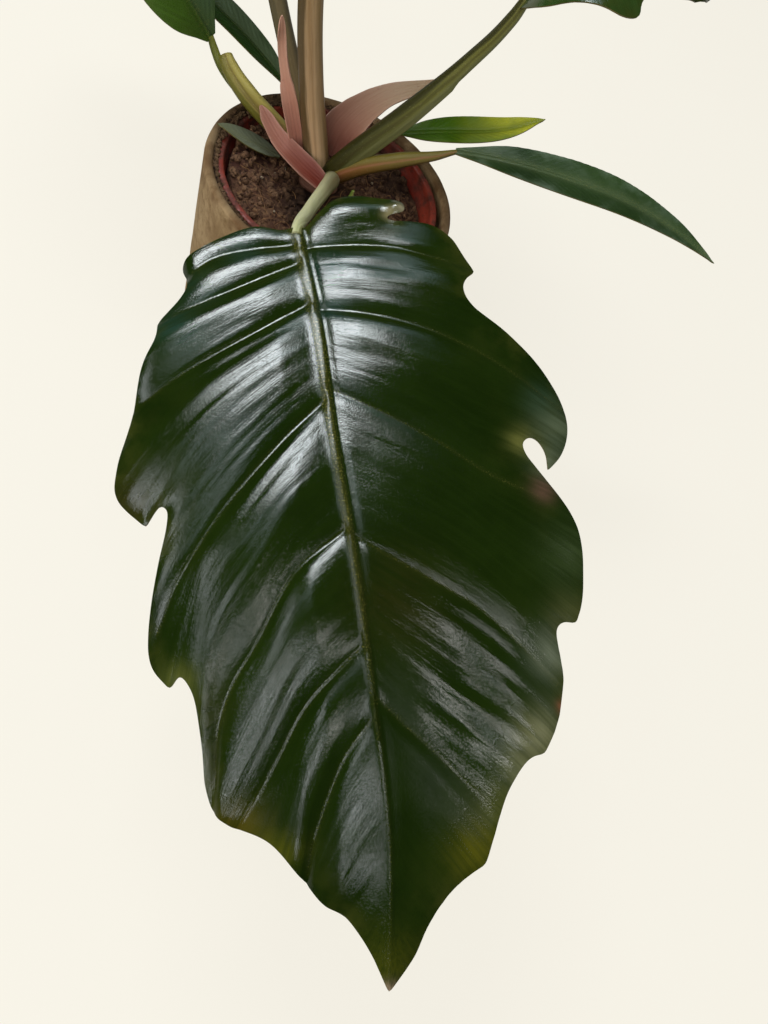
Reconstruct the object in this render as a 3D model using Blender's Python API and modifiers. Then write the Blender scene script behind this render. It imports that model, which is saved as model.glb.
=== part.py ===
"""A potted philodendron: one big lobed leaf reaching forward, smaller leaves and pink leaf
sheaths round a short stem, in a terracotta-red nursery pot that stands in a beige cover pot.
The frame is in metres with +Z up, and its origin is the centre of the cover pot's base."""

import math

import bmesh
import bpy
import numpy as np
from mathutils import Matrix, Vector, noise
from mathutils.geometry import delaunay_2d_cdt

MM = 0.001

# Cover pot: outer radius and height of a beige moulded pot, with its wall and floor
COVER_RADIUS = 72.5
COVER_HEIGHT = 124.0
COVER_WALL = 5.0
COVER_FLOOR = 5.0

# Nursery pot: a 13 cm pot with a flat turned-out rim, standing a little off centre in the cover
NURSERY_RIM_RADIUS = 65.0
NURSERY_TOP_RADIUS = 61.0
NURSERY_BASE_RADIUS = 46.0
NURSERY_HEIGHT = 115.0
NURSERY_WALL = 1.2
NURSERY_OFFSET = (-1.4, 1.2)
DRAIN_HOLES = 6
DRAIN_HOLE_RADIUS = 4.0
DRAIN_HOLE_RING = 30.0

# Where two pieces meet, the gap between them
GAP = 0.3
NURSERY_BASE_Z = COVER_FLOOR + GAP
NURSERY_RIM_Z = NURSERY_BASE_Z + NURSERY_HEIGHT

# Soil: low at the stem and towards the right, banked up to just under the rim at the left and back
SOIL_AT_STEM = 12.0
SOIL_BANK = 8.0
SOIL_HOLLOW = 3.0
SOIL_LUMPS = 1.6
SOIL_Z = NURSERY_RIM_Z - SOIL_AT_STEM

# Stem: points down its middle with a radius at each
STEM = (
    ((-12, 8, 84), 7.0),
    ((-12, 8, 96), 9.5),
    ((-12, 8, 108), 11.0),
    ((-12, 8, 116), 9.0),
)

# Leaf stalks: points up the middle with a radius at each, in the order they are cut round
STALKS = {
    "stalk_rear": (((-14, 9, 110), 7.0), ((-18, 9, 122), 7.4), ((-30, 3, 166), 6.6),
                   ((-38, -2, 205), 6.2), ((-44, -4, 245), 5.8), ((-52, 4, 290), 5.2),
                   ((-62, 22, 332), 4.4)),
    "stalk_right": (((-9, 9, 112), 6.2), ((-3, 10, 127), 6.6), ((20, 23, 171), 5.8),
                    ((38, 32, 205), 4.2), ((46.5, 33, 236), 3.3)),
    "stalk_front": (((-8, 8, 112), 5.6), ((-3, 3, 120), 6.4), ((6, -24, 136), 5.2),
                    ((22, -77, 165), 3.5), ((35, -115, 189), 2.6)),
    "stalk_rear_left": (((-22, 16, 115), 5.2), ((-27, 19, 121), 5.4), ((-48, 20, 150), 5.0),
                        ((-67, 20, 181), 4.8), ((-84, 20, 212), 4.4), ((-102, 26, 250), 4.0),
                        ((-122, 38, 288), 3.4)),
    "stalk_left": (((-25, 11, 117), 4.6), ((-35, 11, 121), 6.0), ((-48, 8, 130), 6.0),
                   ((-68, 4, 141), 4.8), ((-80, 3, 146), 3.8), ((-83, 3, 147.5), 1.8),
                   ((-91, 2, 151), 1.6)),
    "stalk_long": (((-6, 6, 114), 4.2), ((1, 9, 125), 5.0), ((26, 18, 146), 3.4),
                   ((44, 27, 158), 2.2), ((49, 30, 161), 1.8)),
    "stalk_narrow": (((-24, 20, 112), 2.6), ((-38, 28, 120), 2.6), ((-56, 33, 130), 2.0)),
    "stalk_bright": (((-4, 16, 116), 2.6), ((6, 26, 135), 2.4), ((14, 34, 147), 1.8)),
}

LEAF_THICKNESS = 0.9

# The front leaf lies flat in (along, across) before it is bent, both in mm from the stalk.
# Each run ends in a lobe tip or a notch, and a smooth line is drawn through its points.
FRONT_LEFT = (
    ((-3, 2), (-2.6, 6), (-5, 16), (-2, 29), (4, 43), (9, 50)),
    ((9, 50), (14, 47.5), (19, 47), (25, 51), (34, 59)),
    ((34, 59), (43, 62), (57, 68), (79, 73), (96, 78.5), (107, 79), (119, 70)),
    ((119, 70), (115, 67), (112, 64), (114, 62), (121, 63), (135, 67), (158, 72), (170, 72), (179, 66)),
    ((179, 66), (175, 62.5), (178, 60), (184, 58), (198, 57), (210, 57), (220, 55), (226, 50)),
    ((226, 50), (233, 38), (246, 28)),
    ((246, 28), (254, 21), (258, 14), (269, 6), (281, 0)),
)
FRONT_RIGHT = (
    ((-3, 2), (-3, 5), (-8, 11), (-14, 20), (-15, 32), (-11, 42), (-5, 47)),
    ((-5, 47), (-1, 47), (3, 58), (10, 65), (19, 68), (27, 71)),
    ((27, 71), (32, 65), (37, 62.5), (44, 65), (55, 78), (68, 89), (83, 95), (99, 94), (110, 89), (117, 81)),
    ((117, 81), (110, 82), (104, 80), (102, 77), (104, 73.5), (109, 73.5), (117, 77), (135, 85),
     (148, 86), (164, 82.5), (174, 77)),
    ((174, 77), (173, 72), (176, 68.5), (186, 68.5), (195, 68), (207, 63), (216, 56)),
    ((216, 56), (217, 50), (225, 42), (236, 36), (245, 32)),
    ((245, 32), (249, 25), (254, 19), (262, 13), (272, 8), (281, 0)),
)
# Side veins of the front leaf, from the midrib outwards, with the side (1 left, -1 right)
FRONT_VEINS = (
    (1, ((5, 0), (7, 31), (13, 44))),
    (1, ((14, 0), (25, 32), (32, 54))),
    (1, ((34, 0), (50, 32), (61, 52), (72, 68))),
    (1, ((78, 0), (99, 24), (120, 45), (142, 61), (159, 69))),
    (1, ((130, 0), (145, 21), (167, 36), (181, 46), (196, 52), (212, 54))),
    (1, ((172, 0), (189, 21), (205, 33), (216, 40))),
    (1, ((196, 0), (207, 11), (219, 18), (234, 24), (245, 26))),
    (-1, ((7, 0), (12, 33), (22, 60))),
    (-1, ((37, 0), (45, 27), (55, 51), (70, 75), (84, 90))),
    (-1, ((73, 0), (87, 22), (101, 39), (117, 56), (128, 74))),
    (-1, ((133, 0), (144, 14), (154, 28), (165, 42), (180, 55), (195, 66))),
    (-1, ((189, 0), (201, 10), (210, 18), (219, 26), (229, 36))),
)

# How each blade lies: points along its midrib, the turn about the midrib at base and tip in degrees,
# the rise from the midrib and the droop towards the edges, and the wave of the edges
BLADES = {
    "leaf_front": dict(midrib=((37, -120, 191), (70, -153, 189), (101, -188, 186), (133, -222, 183),
                               (164, -256, 177), (195, -290, 168), (222, -325, 153)),
                       tilt=(-14, -14), rise=0.08, droop=0.0018, wave=1.2, wavelength=46, phase=0.4),
    "leaf_rear": dict(midrib=((-63, 25, 334), (-72, 80, 350), (-84, 140, 346), (-95, 195, 318),
                              (-102, 240, 274)),
                      tilt=(4, 4), rise=0.10, droop=0.0022, wave=2.0, wavelength=50, phase=1.2),
    "leaf_rear_left": dict(midrib=((-125, 40, 290), (-172, 64, 306), (-226, 92, 304), (-274, 116, 280),
                                   (-308, 134, 244)),
                           tilt=(-6, -6), rise=0.10, droop=0.0022, wave=2.0, wavelength=46, phase=2.4),
    "leaf_right": dict(midrib=((49, 33, 244), (61, 39, 269), (84, 53, 281), (103, 71, 277),
                               (113, 89, 270)),
                       tilt=(6, -38), rise=0.14, droop=0.0030, wave=1.6, wavelength=40, phase=0.6),
    "leaf_left": dict(midrib=((-92, 2, 152), (-105, -4, 168), (-121, -8, 184), (-142, -10, 194),
                              (-166, -10, 196)),
                      tilt=(28, 28), rise=0.15, droop=0.006, wave=0.6, wavelength=40, phase=0.0),
    "leaf_long": dict(midrib=((50, 31, 162), (83, 43, 170), (133, 62, 175), (172, 75, 172),
                              (205, 84, 165)),
                      tilt=(-4, -4), rise=0.25, droop=0.006, wave=0.0, wavelength=60, phase=0.0),
    "leaf_narrow": dict(midrib=((-57, 33.5, 131), (-83, 34, 140), (-107, 33, 147), (-140, 33, 152),
                                (-168, 33, 150)),
                        tilt=(-10, -10), rise=0.3, droop=0.01, wave=0.0, wavelength=60, phase=0.0),
    "leaf_bright": dict(midrib=((15, 35, 148), (34, 46, 158), (60, 61, 169), (79, 78, 178)),
                        tilt=(-6, -6), rise=0.3, droop=0.01, wave=0.0, wavelength=60, phase=0.0),
    "leaf_small": dict(midrib=((-38, 4, 111), (-47, -4, 116), (-57, -14, 122), (-67, -24, 129)),
                       tilt=(0, 0), rise=0.3, droop=0.02, wave=0.0, wavelength=60, phase=0.0),
}

# The other blades: length, half width, and where the lobes end along each side (none: a plain blade)
BLADE_SIZES = {
    "leaf_rear": (250, 74, (0.13, 0.34, 0.55, 0.74, 0.88), (0.10, 0.30, 0.52, 0.70, 0.86)),
    "leaf_rear_left": (225, 66, (0.12, 0.36, 0.60, 0.80), (0.15, 0.40, 0.63, 0.84)),
    "leaf_right": (120, 36, (0.18, 0.60, 0.84), (0.24, 0.58, 0.84)),
    "leaf_left": (84, 22, (), ()),
    "leaf_long": (167, 16, (), ()),
    "leaf_narrow": (113, 11, (), ()),
    "leaf_bright": (80, 11, (), ()),
    "leaf_small": (42, 7.5, (), ()),
}

# How far apart the points inside a blade and along its edge are, 7 mm unless it is listed
BLADE_STEPS = {
    "leaf_front": (11.0, 5.0),
    "leaf_rear": (15.0, 9.0),
    "leaf_rear_left": (15.0, 9.0),
    "leaf_right": (11.0, 7.0),
}

# Pink leaf sheaths: points up the back, length, half width, how far the edges curl, and the turn
SHEATHS = {
    "sheath_short": (((-5, -6, 122), (-22, -9, 127), (-40, -7, 131), (-54, -3, 138)), 52, 8.0, 0.040, 15),
    "sheath_wide": (((-10, 17, 120), (-11, 28, 145), (3, 41, 166), (24, 55, 179)), 86, 12.0, 0.022, 10),
    "sheath_tall": (((-24, -3, 127), (-35, -4, 154), (-45, -4, 174), (-51, -4, 189)), 70, 6.4, 0.045, 0),
}
SHEATH_THICKNESS = 0.9

SPROUT = (((12, 2, 98), 1.8), ((12, 2, 116), 1.8), ((12.5, 1.5, 124), 0.8))

COLOURS = {
    "cover": ((0.42, 0.33, 0.20), 0.8),
    "nursery": ((0.35, 0.05, 0.03), 0.5),
    "soil": ((0.05, 0.03, 0.02), 1.0),
    "stalk": ((0.22, 0.20, 0.08), 0.5),
    "leaf": ((0.015, 0.04, 0.01), 0.3),
    "young_leaf": ((0.08, 0.22, 0.02), 0.4),
    "sheath": ((0.45, 0.18, 0.15), 0.6),
}


def material(name):
    found = bpy.data.materials.get(name)
    if found:
        return found
    colour, roughness = COLOURS[name]
    made = bpy.data.materials.new(name)
    made.use_nodes = True
    shader = made.node_tree.nodes["Principled BSDF"]
    shader.inputs["Base Color"].default_value = (*colour, 1)
    shader.inputs["Roughness"].default_value = roughness
    shader.inputs["Metallic"].default_value = 0.0
    return made


def add_object(name, mesh, collection):
    obj = bpy.data.objects.new(name, mesh)
    collection.objects.link(obj)
    return obj


def bake(obj):
    """Replaces the object's mesh with what its modifiers make of it."""
    bpy.context.view_layer.update()
    graph = bpy.context.evaluated_depsgraph_get()
    mesh = bpy.data.meshes.new_from_object(obj.evaluated_get(graph))
    obj.modifiers.clear()
    obj.data = mesh
    return obj


def clean(obj):
    """Welds the object's mesh and keeps only the largest of its separate bodies."""
    bm = bmesh.new()
    bm.from_mesh(obj.data)
    bmesh.ops.remove_doubles(bm, verts=bm.verts, dist=0.00001)
    bmesh.ops.dissolve_degenerate(bm, edges=bm.edges, dist=0.00001)
    left = set(bm.verts)
    bodies = []
    while left:
        body = set()
        edge_of = [left.pop()]
        while edge_of:
            vert = edge_of.pop()
            body.add(vert)
            for edge in vert.link_edges:
                other = edge.other_vert(vert)
                if other in left:
                    left.discard(other)
                    edge_of.append(other)
        bodies.append(body)
    largest = max(bodies, key=len)
    bmesh.ops.delete(bm, geom=[v for v in bm.verts if v not in largest], context="VERTS")
    bmesh.ops.triangulate(bm, faces=bm.faces)
    bmesh.ops.recalc_face_normals(bm, faces=bm.faces)
    bm.to_mesh(obj.data)
    bm.free()


def cut_round(obj, cutters):
    """Cuts the object back from each cutter, which is a neighbour made thicker by the gap."""
    for cutter in cutters:
        modifier = obj.modifiers.new("cut", "BOOLEAN")
        modifier.operation = "DIFFERENCE"
        modifier.solver = "EXACT"
        modifier.object = cutter
    bake(obj)
    clean(obj)


def shade_smooth(obj, degrees):
    obj.data.shade_smooth()
    obj.data.set_sharp_from_angle(angle=math.radians(degrees))


def finish(obj, material_name, smooth=40):
    obj.data.materials.clear()
    obj.data.materials.append(material(material_name))
    shade_smooth(obj, smooth)


def lathe(name, profile, steps, collection, centre=(0, 0)):
    """A solid of revolution. The profile (radius, height) runs from the axis, up inside and down outside."""
    mesh = bpy.data.meshes.new(name)
    points = [(r * MM, 0, z * MM) for r, z in profile]
    mesh.from_pydata(points, [(i, i + 1) for i in range(len(points) - 1)], [])
    obj = add_object(name, mesh, collection)
    screw = obj.modifiers.new("turn", "SCREW")
    screw.angle = math.tau
    screw.steps = steps
    screw.render_steps = steps
    screw.use_merge_vertices = True
    screw.merge_threshold = 0.00001
    bake(obj)
    obj.data.transform(Matrix.Translation((centre[0] * MM, centre[1] * MM, 0)))
    return obj


def arc(centre, radius, start, end, count):
    """Points of an arc of a profile, angles in degrees from the outward direction."""
    points = []
    for i in range(count):
        angle = math.radians(start + (end - start) * i / (count - 1))
        points.append((centre[0] + radius * math.cos(angle), centre[1] + radius * math.sin(angle)))
    return points


def cover_pot(collection):
    """A round pot with straight walls, a rounded rim and a flat foot."""
    half = COVER_WALL / 2
    middle = COVER_RADIUS - half
    inner = COVER_RADIUS - COVER_WALL
    profile = [(0, COVER_FLOOR)]
    profile += arc((inner - 4, COVER_FLOOR + 4), 4, -90, 0, 4)
    profile += arc((middle, COVER_HEIGHT - half), half, 180, 0, 7)
    profile += arc((COVER_RADIUS - 6, 6), 6, 0, -90, 5)
    profile += [(0, 0)]
    obj = lathe("cover_pot", profile, 64, collection)
    finish(obj, "cover")
    return obj


def nursery_pot(collection):
    """A thin tapered pot with a turned-out rim and drain holes in its floor."""
    base = NURSERY_BASE_Z
    rim = NURSERY_RIM_Z
    top_out = NURSERY_TOP_RADIUS + NURSERY_WALL
    profile = [
        (0, base + NURSERY_WALL * 1.5),
        (NURSERY_BASE_RADIUS - NURSERY_WALL, base + NURSERY_WALL * 1.5),
        (NURSERY_TOP_RADIUS, rim - 1.2),
        (NURSERY_TOP_RADIUS + 0.8, rim),
        (NURSERY_RIM_RADIUS - 0.8, rim),
        (NURSERY_RIM_RADIUS, rim - 0.8),
        (NURSERY_RIM_RADIUS, rim - 6.0),
        (NURSERY_RIM_RADIUS - 1.2, rim - 6.0),
        (NURSERY_RIM_RADIUS - 1.2, rim - 2.0),
        (top_out, rim - 2.0),
        (NURSERY_BASE_RADIUS, base),
        (0, base),
    ]
    obj = lathe("nursery_pot", profile, 56, collection, NURSERY_OFFSET)
    holes = []
    for i in range(DRAIN_HOLES):
        angle = math.tau * i / DRAIN_HOLES
        bpy.ops.mesh.primitive_cylinder_add(
            vertices=12, radius=DRAIN_HOLE_RADIUS * MM, depth=8 * MM,
            location=((NURSERY_OFFSET[0] + DRAIN_HOLE_RING * math.cos(angle)) * MM,
                      (NURSERY_OFFSET[1] + DRAIN_HOLE_RING * math.sin(angle)) * MM,
                      base * MM))
        holes.append(bpy.context.object)
    cut_round(obj, holes)
    for hole in holes:
        bpy.data.objects.remove(hole)
    finish(obj, "nursery")
    return obj


def soil_height(x, y):
    """The height of the soil's top at a place measured from the nursery pot's middle."""
    away = min(max((math.hypot(x + 11, y - 7) - 16) / 28, 0), 1)
    bank = min(max(0.55 - (0.95 * x - 0.3 * y) / 70, 0), 1)
    lumps = SOIL_LUMPS * noise.noise(Vector((x, y, 0)) * 0.11)
    return SOIL_Z + away ** 2 * (SOIL_BANK * bank - SOIL_HOLLOW * (1 - bank)) + lumps


def soil(collection, stem_hole, sprout_hole):
    """The soil fills the nursery pot to a lumpy top, with a plain hole for each thing that grows in it."""
    floor = NURSERY_BASE_Z + NURSERY_WALL * 1.5 + GAP
    slope = (NURSERY_TOP_RADIUS - NURSERY_BASE_RADIUS + NURSERY_WALL) / (NURSERY_HEIGHT - 3)
    radius_low = NURSERY_BASE_RADIUS - NURSERY_WALL - GAP * 2
    bm = bmesh.new()
    sectors = 32
    rings = 9
    rows = []
    for j in range(1, rings + 1):
        row = []
        for i in range(sectors):
            angle = math.tau * i / sectors
            edge = soil_height(60 * math.cos(angle), 60 * math.sin(angle))
            r = (radius_low + slope * (edge - floor) - GAP) * j / rings
            x = r * math.cos(angle)
            y = r * math.sin(angle)
            z = soil_height(x, y)
            row.append(bm.verts.new(((x + NURSERY_OFFSET[0]) * MM, (y + NURSERY_OFFSET[1]) * MM, z * MM)))
        rows.append(row)
    low = []
    for i in range(sectors):
        angle = math.tau * i / sectors
        low.append(bm.verts.new(((radius_low * math.cos(angle) + NURSERY_OFFSET[0]) * MM,
                                 (radius_low * math.sin(angle) + NURSERY_OFFSET[1]) * MM, floor * MM)))
    rows.append(low)
    top_mid = bm.verts.new((NURSERY_OFFSET[0] * MM, NURSERY_OFFSET[1] * MM, soil_height(0, 0) * MM))
    low_mid = bm.verts.new((NURSERY_OFFSET[0] * MM, NURSERY_OFFSET[1] * MM, floor * MM))
    for i in range(sectors):
        k = (i + 1) % sectors
        bm.faces.new((top_mid, rows[0][i], rows[0][k]))
        bm.faces.new((low_mid, rows[-1][k], rows[-1][i]))
        for inner, outer in zip(rows, rows[1:]):
            bm.faces.new((inner[i], outer[i], outer[k], inner[k]))
    bmesh.ops.triangulate(bm, faces=bm.faces)
    bmesh.ops.recalc_face_normals(bm, faces=bm.faces)
    mesh = bpy.data.meshes.new("soil")
    bm.to_mesh(mesh)
    bm.free()
    obj = add_object("soil", mesh, collection)
    cut_round(obj, [stem_hole, sprout_hole])
    finish(obj, "soil")
    return obj


def tube(name, points, collection, grow=0.0, bevel=3, resolution=3):
    """A round stalk through the points, each ((x, y, z), radius), made a closed mesh."""
    curve = bpy.data.curves.new(name, "CURVE")
    curve.dimensions = "3D"
    curve.bevel_depth = MM
    curve.bevel_resolution = bevel
    curve.resolution_u = resolution
    curve.use_fill_caps = True
    spline = curve.splines.new("BEZIER")
    spline.bezier_points.add(len(points) - 1)
    for knot, (place, radius) in zip(spline.bezier_points, points):
        knot.co = [value * MM for value in place]
        knot.radius = radius + grow
        knot.handle_left_type = "AUTO"
        knot.handle_right_type = "AUTO"
    rod = add_object(name + "_line", curve, collection)
    bpy.context.view_layer.update()
    graph = bpy.context.evaluated_depsgraph_get()
    mesh = bpy.data.meshes.new_from_object(rod.evaluated_get(graph))
    bpy.data.objects.remove(rod)
    obj = add_object(name, mesh, collection)
    clean(obj)
    return obj


def smooth_line(points, step):
    """Points about a step apart on a smooth curve through the given points, without its end."""
    points = [np.array(p, float) for p in points]
    ends = [2 * points[0] - points[1], *points, 2 * points[-1] - points[-2]]
    line = []
    for a, b, c, d in zip(ends, ends[1:], ends[2:], ends[3:]):
        count = max(1, round(np.linalg.norm(c - b) / step))
        for i in range(count):
            t = i / count
            line.append(0.5 * (2 * b + (c - a) * t + (2 * a - 5 * b + 4 * c - d) * t ** 2
                               + (3 * b - a - 3 * c + d) * t ** 3))
    return line


def lobed_side(length, half_width, lobes):
    """One side of a lobed blade as runs of points, each ending in a lobe tip."""
    def reach(s):
        return half_width * math.sin(math.pi * s ** 0.8) ** 0.75

    runs = [[(-3, 2), (-2, 6), (-0.03 * length, 0.3 * half_width), (-0.01 * length, 0.55 * half_width),
             (lobes[0] * length, reach(lobes[0]))]]
    for a, b in zip(lobes, lobes[1:] + (1.0,)):
        start = (a * length, reach(a))
        notch = (a * length + 1, reach(a) - 0.09 * half_width)
        middle = a + 0.45 * (b - a)
        end = (b * length, reach(b) if b < 1 else 0)
        runs.append([start, notch, (notch[0] + 6, notch[1] + 1), (middle * length, reach(middle)), end])
    return runs


def plain_side(length, half_width):
    """One side of a plain pointed blade as a single run of points."""
    shape = ((0.0, 0.16), (0.06, 0.36), (0.2, 0.8), (0.4, 1.0), (0.6, 0.92), (0.8, 0.58), (0.93, 0.22), (1, 0))
    return [[(s * length, w * half_width) for s, w in shape]]


def sides_of(name):
    """The left and right edges of a blade, and its side veins."""
    if name == "leaf_front":
        return FRONT_LEFT, FRONT_RIGHT, FRONT_VEINS
    length, half_width, left, right = BLADE_SIZES[name]
    if not left:
        side = plain_side(length, half_width)
        return side, side, ()
    veins = []
    for turn, lobes in ((1, left), (-1, right)):
        for s in lobes:
            start = (s - 0.16) * length
            reach = half_width * math.sin(math.pi * s ** 0.8) ** 0.75
            veins.append((turn, ((start, 0), (start + 0.07 * length, 0.45 * reach), (s * length - 6, 0.88 * reach))))
    return lobed_side(length, half_width, left), lobed_side(length, half_width, right), veins


def inside(points, loop):
    """For each point, whether it is inside the closed loop."""
    found = np.zeros(len(points), bool)
    for a, b in zip(loop, np.roll(loop, -1, axis=0)):
        crosses = (a[1] > points[:, 1]) != (b[1] > points[:, 1])
        with np.errstate(divide="ignore", invalid="ignore"):
            along = (b[0] - a[0]) * (points[:, 1] - a[1]) / (b[1] - a[1]) + a[0]
        found ^= crosses & (points[:, 0] < along)
    return found


def distance(points, lines):
    """For each point, how far it is from the nearest of the lines."""
    nearest = np.full(len(points), 1e9)
    for line in lines:
        for a, b in zip(line, line[1:]):
            along = np.clip((points - a) @ (b - a) / max((b - a) @ (b - a), 1e-9), 0, 1)
            gap = np.linalg.norm(points - a - along[:, None] * (b - a), axis=1)
            nearest = np.minimum(nearest, gap)
    return nearest


def flat_blade(left, right, veins, spacing, edge_step):
    """A flat blade in (along, across) as points and triangles, with edges along its veins."""
    loop = []
    for run in left:
        loop += smooth_line(run, edge_step)
    back = [np.array(run[-1], float) for run in right[-1:]]
    for run in reversed(right):
        line = smooth_line(run, edge_step)
        back += reversed(line)
    loop += [p * (1, -1) for p in back]
    loop = np.array(loop)
    length = loop[:, 0].max()
    lines = [np.array([(u, 0.0) for u in np.arange(1.5, length - 2, spacing * 0.8)])]
    for turn, points in veins:
        lines.append(np.array([*smooth_line(points, spacing * 0.8), np.array(points[-1])]) * (1, turn))
    row = spacing * math.sqrt(3) / 2
    grid = [(u + (k % 2) * spacing / 2, v)
            for k, v in enumerate(np.arange(loop[:, 1].min(), loop[:, 1].max(), row))
            for u in np.arange(loop[:, 0].min(), length, spacing)]
    grid = np.array(grid)
    grid = grid[inside(grid, loop)]
    grid = grid[distance(grid, [*lines, np.vstack([loop, loop[:1]])]) > 0.5 * spacing]
    points = [Vector(p) for p in loop]
    edges = []
    for line in lines:
        first = len(points)
        points += [Vector(p) for p in line]
        edges += [(first + i, first + i + 1) for i in range(len(line) - 1)]
    points += [Vector(p) for p in grid]
    made = delaunay_2d_cdt(points, edges, [list(range(len(loop)))], 1, 1e-4)
    return np.array([tuple(p) for p in made[0]]), [tuple(f) for f in made[2]], lines


def along_midrib(midrib, u):
    """Places and directions at distances along the midrib, going straight on past its ends."""
    line = np.array([*smooth_line(midrib, 4.0), np.array(midrib[-1], float)])
    steps = np.linalg.norm(np.diff(line, axis=0), axis=1)
    far = np.concatenate([[0], np.cumsum(steps)])
    heading = np.gradient(line, far, axis=0)
    heading /= np.linalg.norm(heading, axis=1)[:, None]
    held = np.clip(u, 0, far[-1])
    place = np.stack([np.interp(held, far, line[:, k]) for k in range(3)], -1)
    ahead = np.stack([np.interp(held, far, heading[:, k]) for k in range(3)], -1)
    return place + ahead * (u - held)[:, None], ahead


def bend(shape, flat, relief=0.0):
    """Bends flat blade points (along, across) to where the blade lies, in mm."""
    u = flat[:, 0]
    v = flat[:, 1]
    place, ahead = along_midrib(shape["midrib"], u)
    level = np.cross(ahead, [0, 0, 1.0])
    level /= np.linalg.norm(level, axis=1)[:, None]
    up = np.cross(level, ahead)
    tilt = np.radians(np.interp(u, (0, u.max()), shape["tilt"]))[:, None]
    side = level * np.cos(tilt) + up * np.sin(tilt)
    normal = np.cross(side, ahead)
    widest = np.abs(v).max() + 1e-6
    height = shape["rise"] * np.abs(v) - shape["droop"] * v ** 2
    phase = shape["phase"] + np.where(v > 0, 0, 1.7)
    height += (shape["wave"] * (np.abs(v) / widest) ** 2
               * np.sin(math.tau * (u - 0.6 * np.abs(v)) / shape["wavelength"] + phase))
    return place + side * v[:, None] + normal * (height + relief)[:, None]


def blade_mesh(name, shape, sides, spacing, edge_step, relief):
    """A bent blade as an open mesh, and the weight of the midrib at each of its points."""
    left, right, veins = sides
    flat, faces, lines = flat_blade(left, right, veins, spacing, edge_step)
    raised = relief * (1 - np.exp(-distance(flat, lines) / 5.0)) if relief else 0.0
    places = bend(shape, flat, raised) * MM
    mesh = bpy.data.meshes.new(name)
    mesh.from_pydata([tuple(p) for p in places], [], faces)
    length = flat[:, 0].max()
    weights = np.clip(1 - np.abs(flat[:, 1]) / 2.5, 0, 1) * np.clip(1 - flat[:, 0] / (0.97 * length), 0, 1)
    return mesh, weights


def blade(name, collection, grow=0.0):
    """A leaf blade, thickened on both faces and thicker along its midrib."""
    length = BLADE_SIZES.get(name, (281,))[0]
    spacing, edge_step = BLADE_STEPS.get(name, (7.0, 7.0))
    rib = 3.4 if length > 200 else 2.2
    relief = 1.0 if length > 100 else 0.0
    mesh, weights = blade_mesh(name, BLADES[name], sides_of(name), spacing, edge_step, relief)
    obj = add_object(name, mesh, collection)
    group = obj.vertex_groups.new(name="rib")
    for i, weight in enumerate(weights):
        group.add([i], float(weight), "REPLACE")
    thicken = obj.modifiers.new("thickness", "SOLIDIFY")
    thicken.thickness = (rib + 2 * grow) * MM
    thicken.offset = 0
    thicken.vertex_group = "rib"
    thicken.thickness_vertex_group = (LEAF_THICKNESS + 2 * grow) / (rib + 2 * grow)
    bake(obj)
    clean(obj)
    return obj


def sheath(name, collection, grow=0.0):
    """A pointed sheath that curls towards the stalk it wrapped."""
    points, length, half_width, curl, turn = SHEATHS[name]
    shape = dict(midrib=points, tilt=(turn, turn), rise=0.0, droop=-curl, wave=0.0, wavelength=60, phase=0.0)
    profile = ((0.0, 0.75), (0.15, 0.95), (0.35, 1.0), (0.6, 0.85), (0.8, 0.55), (0.93, 0.28), (1, 0.08))
    side = [[(s * length, w * half_width) for s, w in profile]]
    flat, faces, _ = flat_blade(side, side, (), 5.0, 6.0)
    mesh = bpy.data.meshes.new(name)
    mesh.from_pydata([tuple(p) for p in bend(shape, flat) * MM], [], faces)
    obj = add_object(name, mesh, collection)
    thicken = obj.modifiers.new("thickness", "SOLIDIFY")
    thicken.thickness = (SHEATH_THICKNESS + 2 * grow) * MM
    thicken.offset = 0
    bake(obj)
    clean(obj)
    return obj


def stalk_line(name):
    """A stalk's points, ending squarely against the base of its blade."""
    points = list(STALKS[name])
    shape = BLADES["leaf" + name[len("stalk"):]]
    start = -3.0 if name[len("stalk_"):] in ("front", "rear", "rear_left", "right") else 0.0
    place, ahead = along_midrib(shape["midrib"], np.array([start]))
    radius = points[-1][1]
    points[-1] = (tuple(place[0] - ahead[0] * (4 + GAP)), radius)
    points.append((tuple(place[0] - ahead[0] * GAP), radius))
    return points


def boxes_meet(a, b, margin=0.001):
    """Whether the bounding boxes of two objects meet."""
    low_a, high_a = np.min(a.bound_box, axis=0), np.max(a.bound_box, axis=0)
    low_b, high_b = np.min(b.bound_box, axis=0), np.max(b.bound_box, axis=0)
    return bool(np.all(low_a - margin < high_b) and np.all(low_b - margin < high_a))


def build():
    for obj in list(bpy.data.objects):
        bpy.data.objects.remove(obj)
    parts = bpy.data.collections.new("potted_philodendron")
    guides = bpy.data.collections.new("guides")
    bpy.context.scene.collection.children.link(parts)
    bpy.context.scene.collection.children.link(guides)

    cover_pot(parts)
    nursery_pot(parts)

    grown = {"stem": (lambda where, g: tube("stem", STEM, where, g, 4), "stalk")}
    for name in STALKS:
        grown[name] = (lambda where, g, n=name: tube(n, stalk_line(n), where, g), "stalk")
    for name in SHEATHS:
        grown[name] = (lambda where, g, n=name: sheath(n, where, g), "sheath")
    for name in BLADES:
        young = name in ("leaf_bright", "leaf_left", "leaf_small")
        grown[name] = (lambda where, g, n=name: blade(n, where, g), "young_leaf" if young else "leaf")
    grown["sprout"] = (lambda where, g: tube("sprout", SPROUT, where, g, 2), "young_leaf")

    thicker = {}
    for name, (make, colour) in grown.items():
        obj = make(parts, 0.0)
        neighbours = [other for other in thicker.values() if boxes_meet(obj, other)]
        if neighbours and not name.startswith("leaf") and name != "sprout":
            cut_round(obj, neighbours)
        finish(obj, colour)
        if name.startswith("leaf"):
            continue
        guide = make(guides, GAP)
        guide.name = name + "_gap"
        guide.hide_render = True
        guide.display_type = "WIRE"
        thicker[name] = guide

    soil(parts, thicker["stem"], thicker["sprout"])


build()
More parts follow.
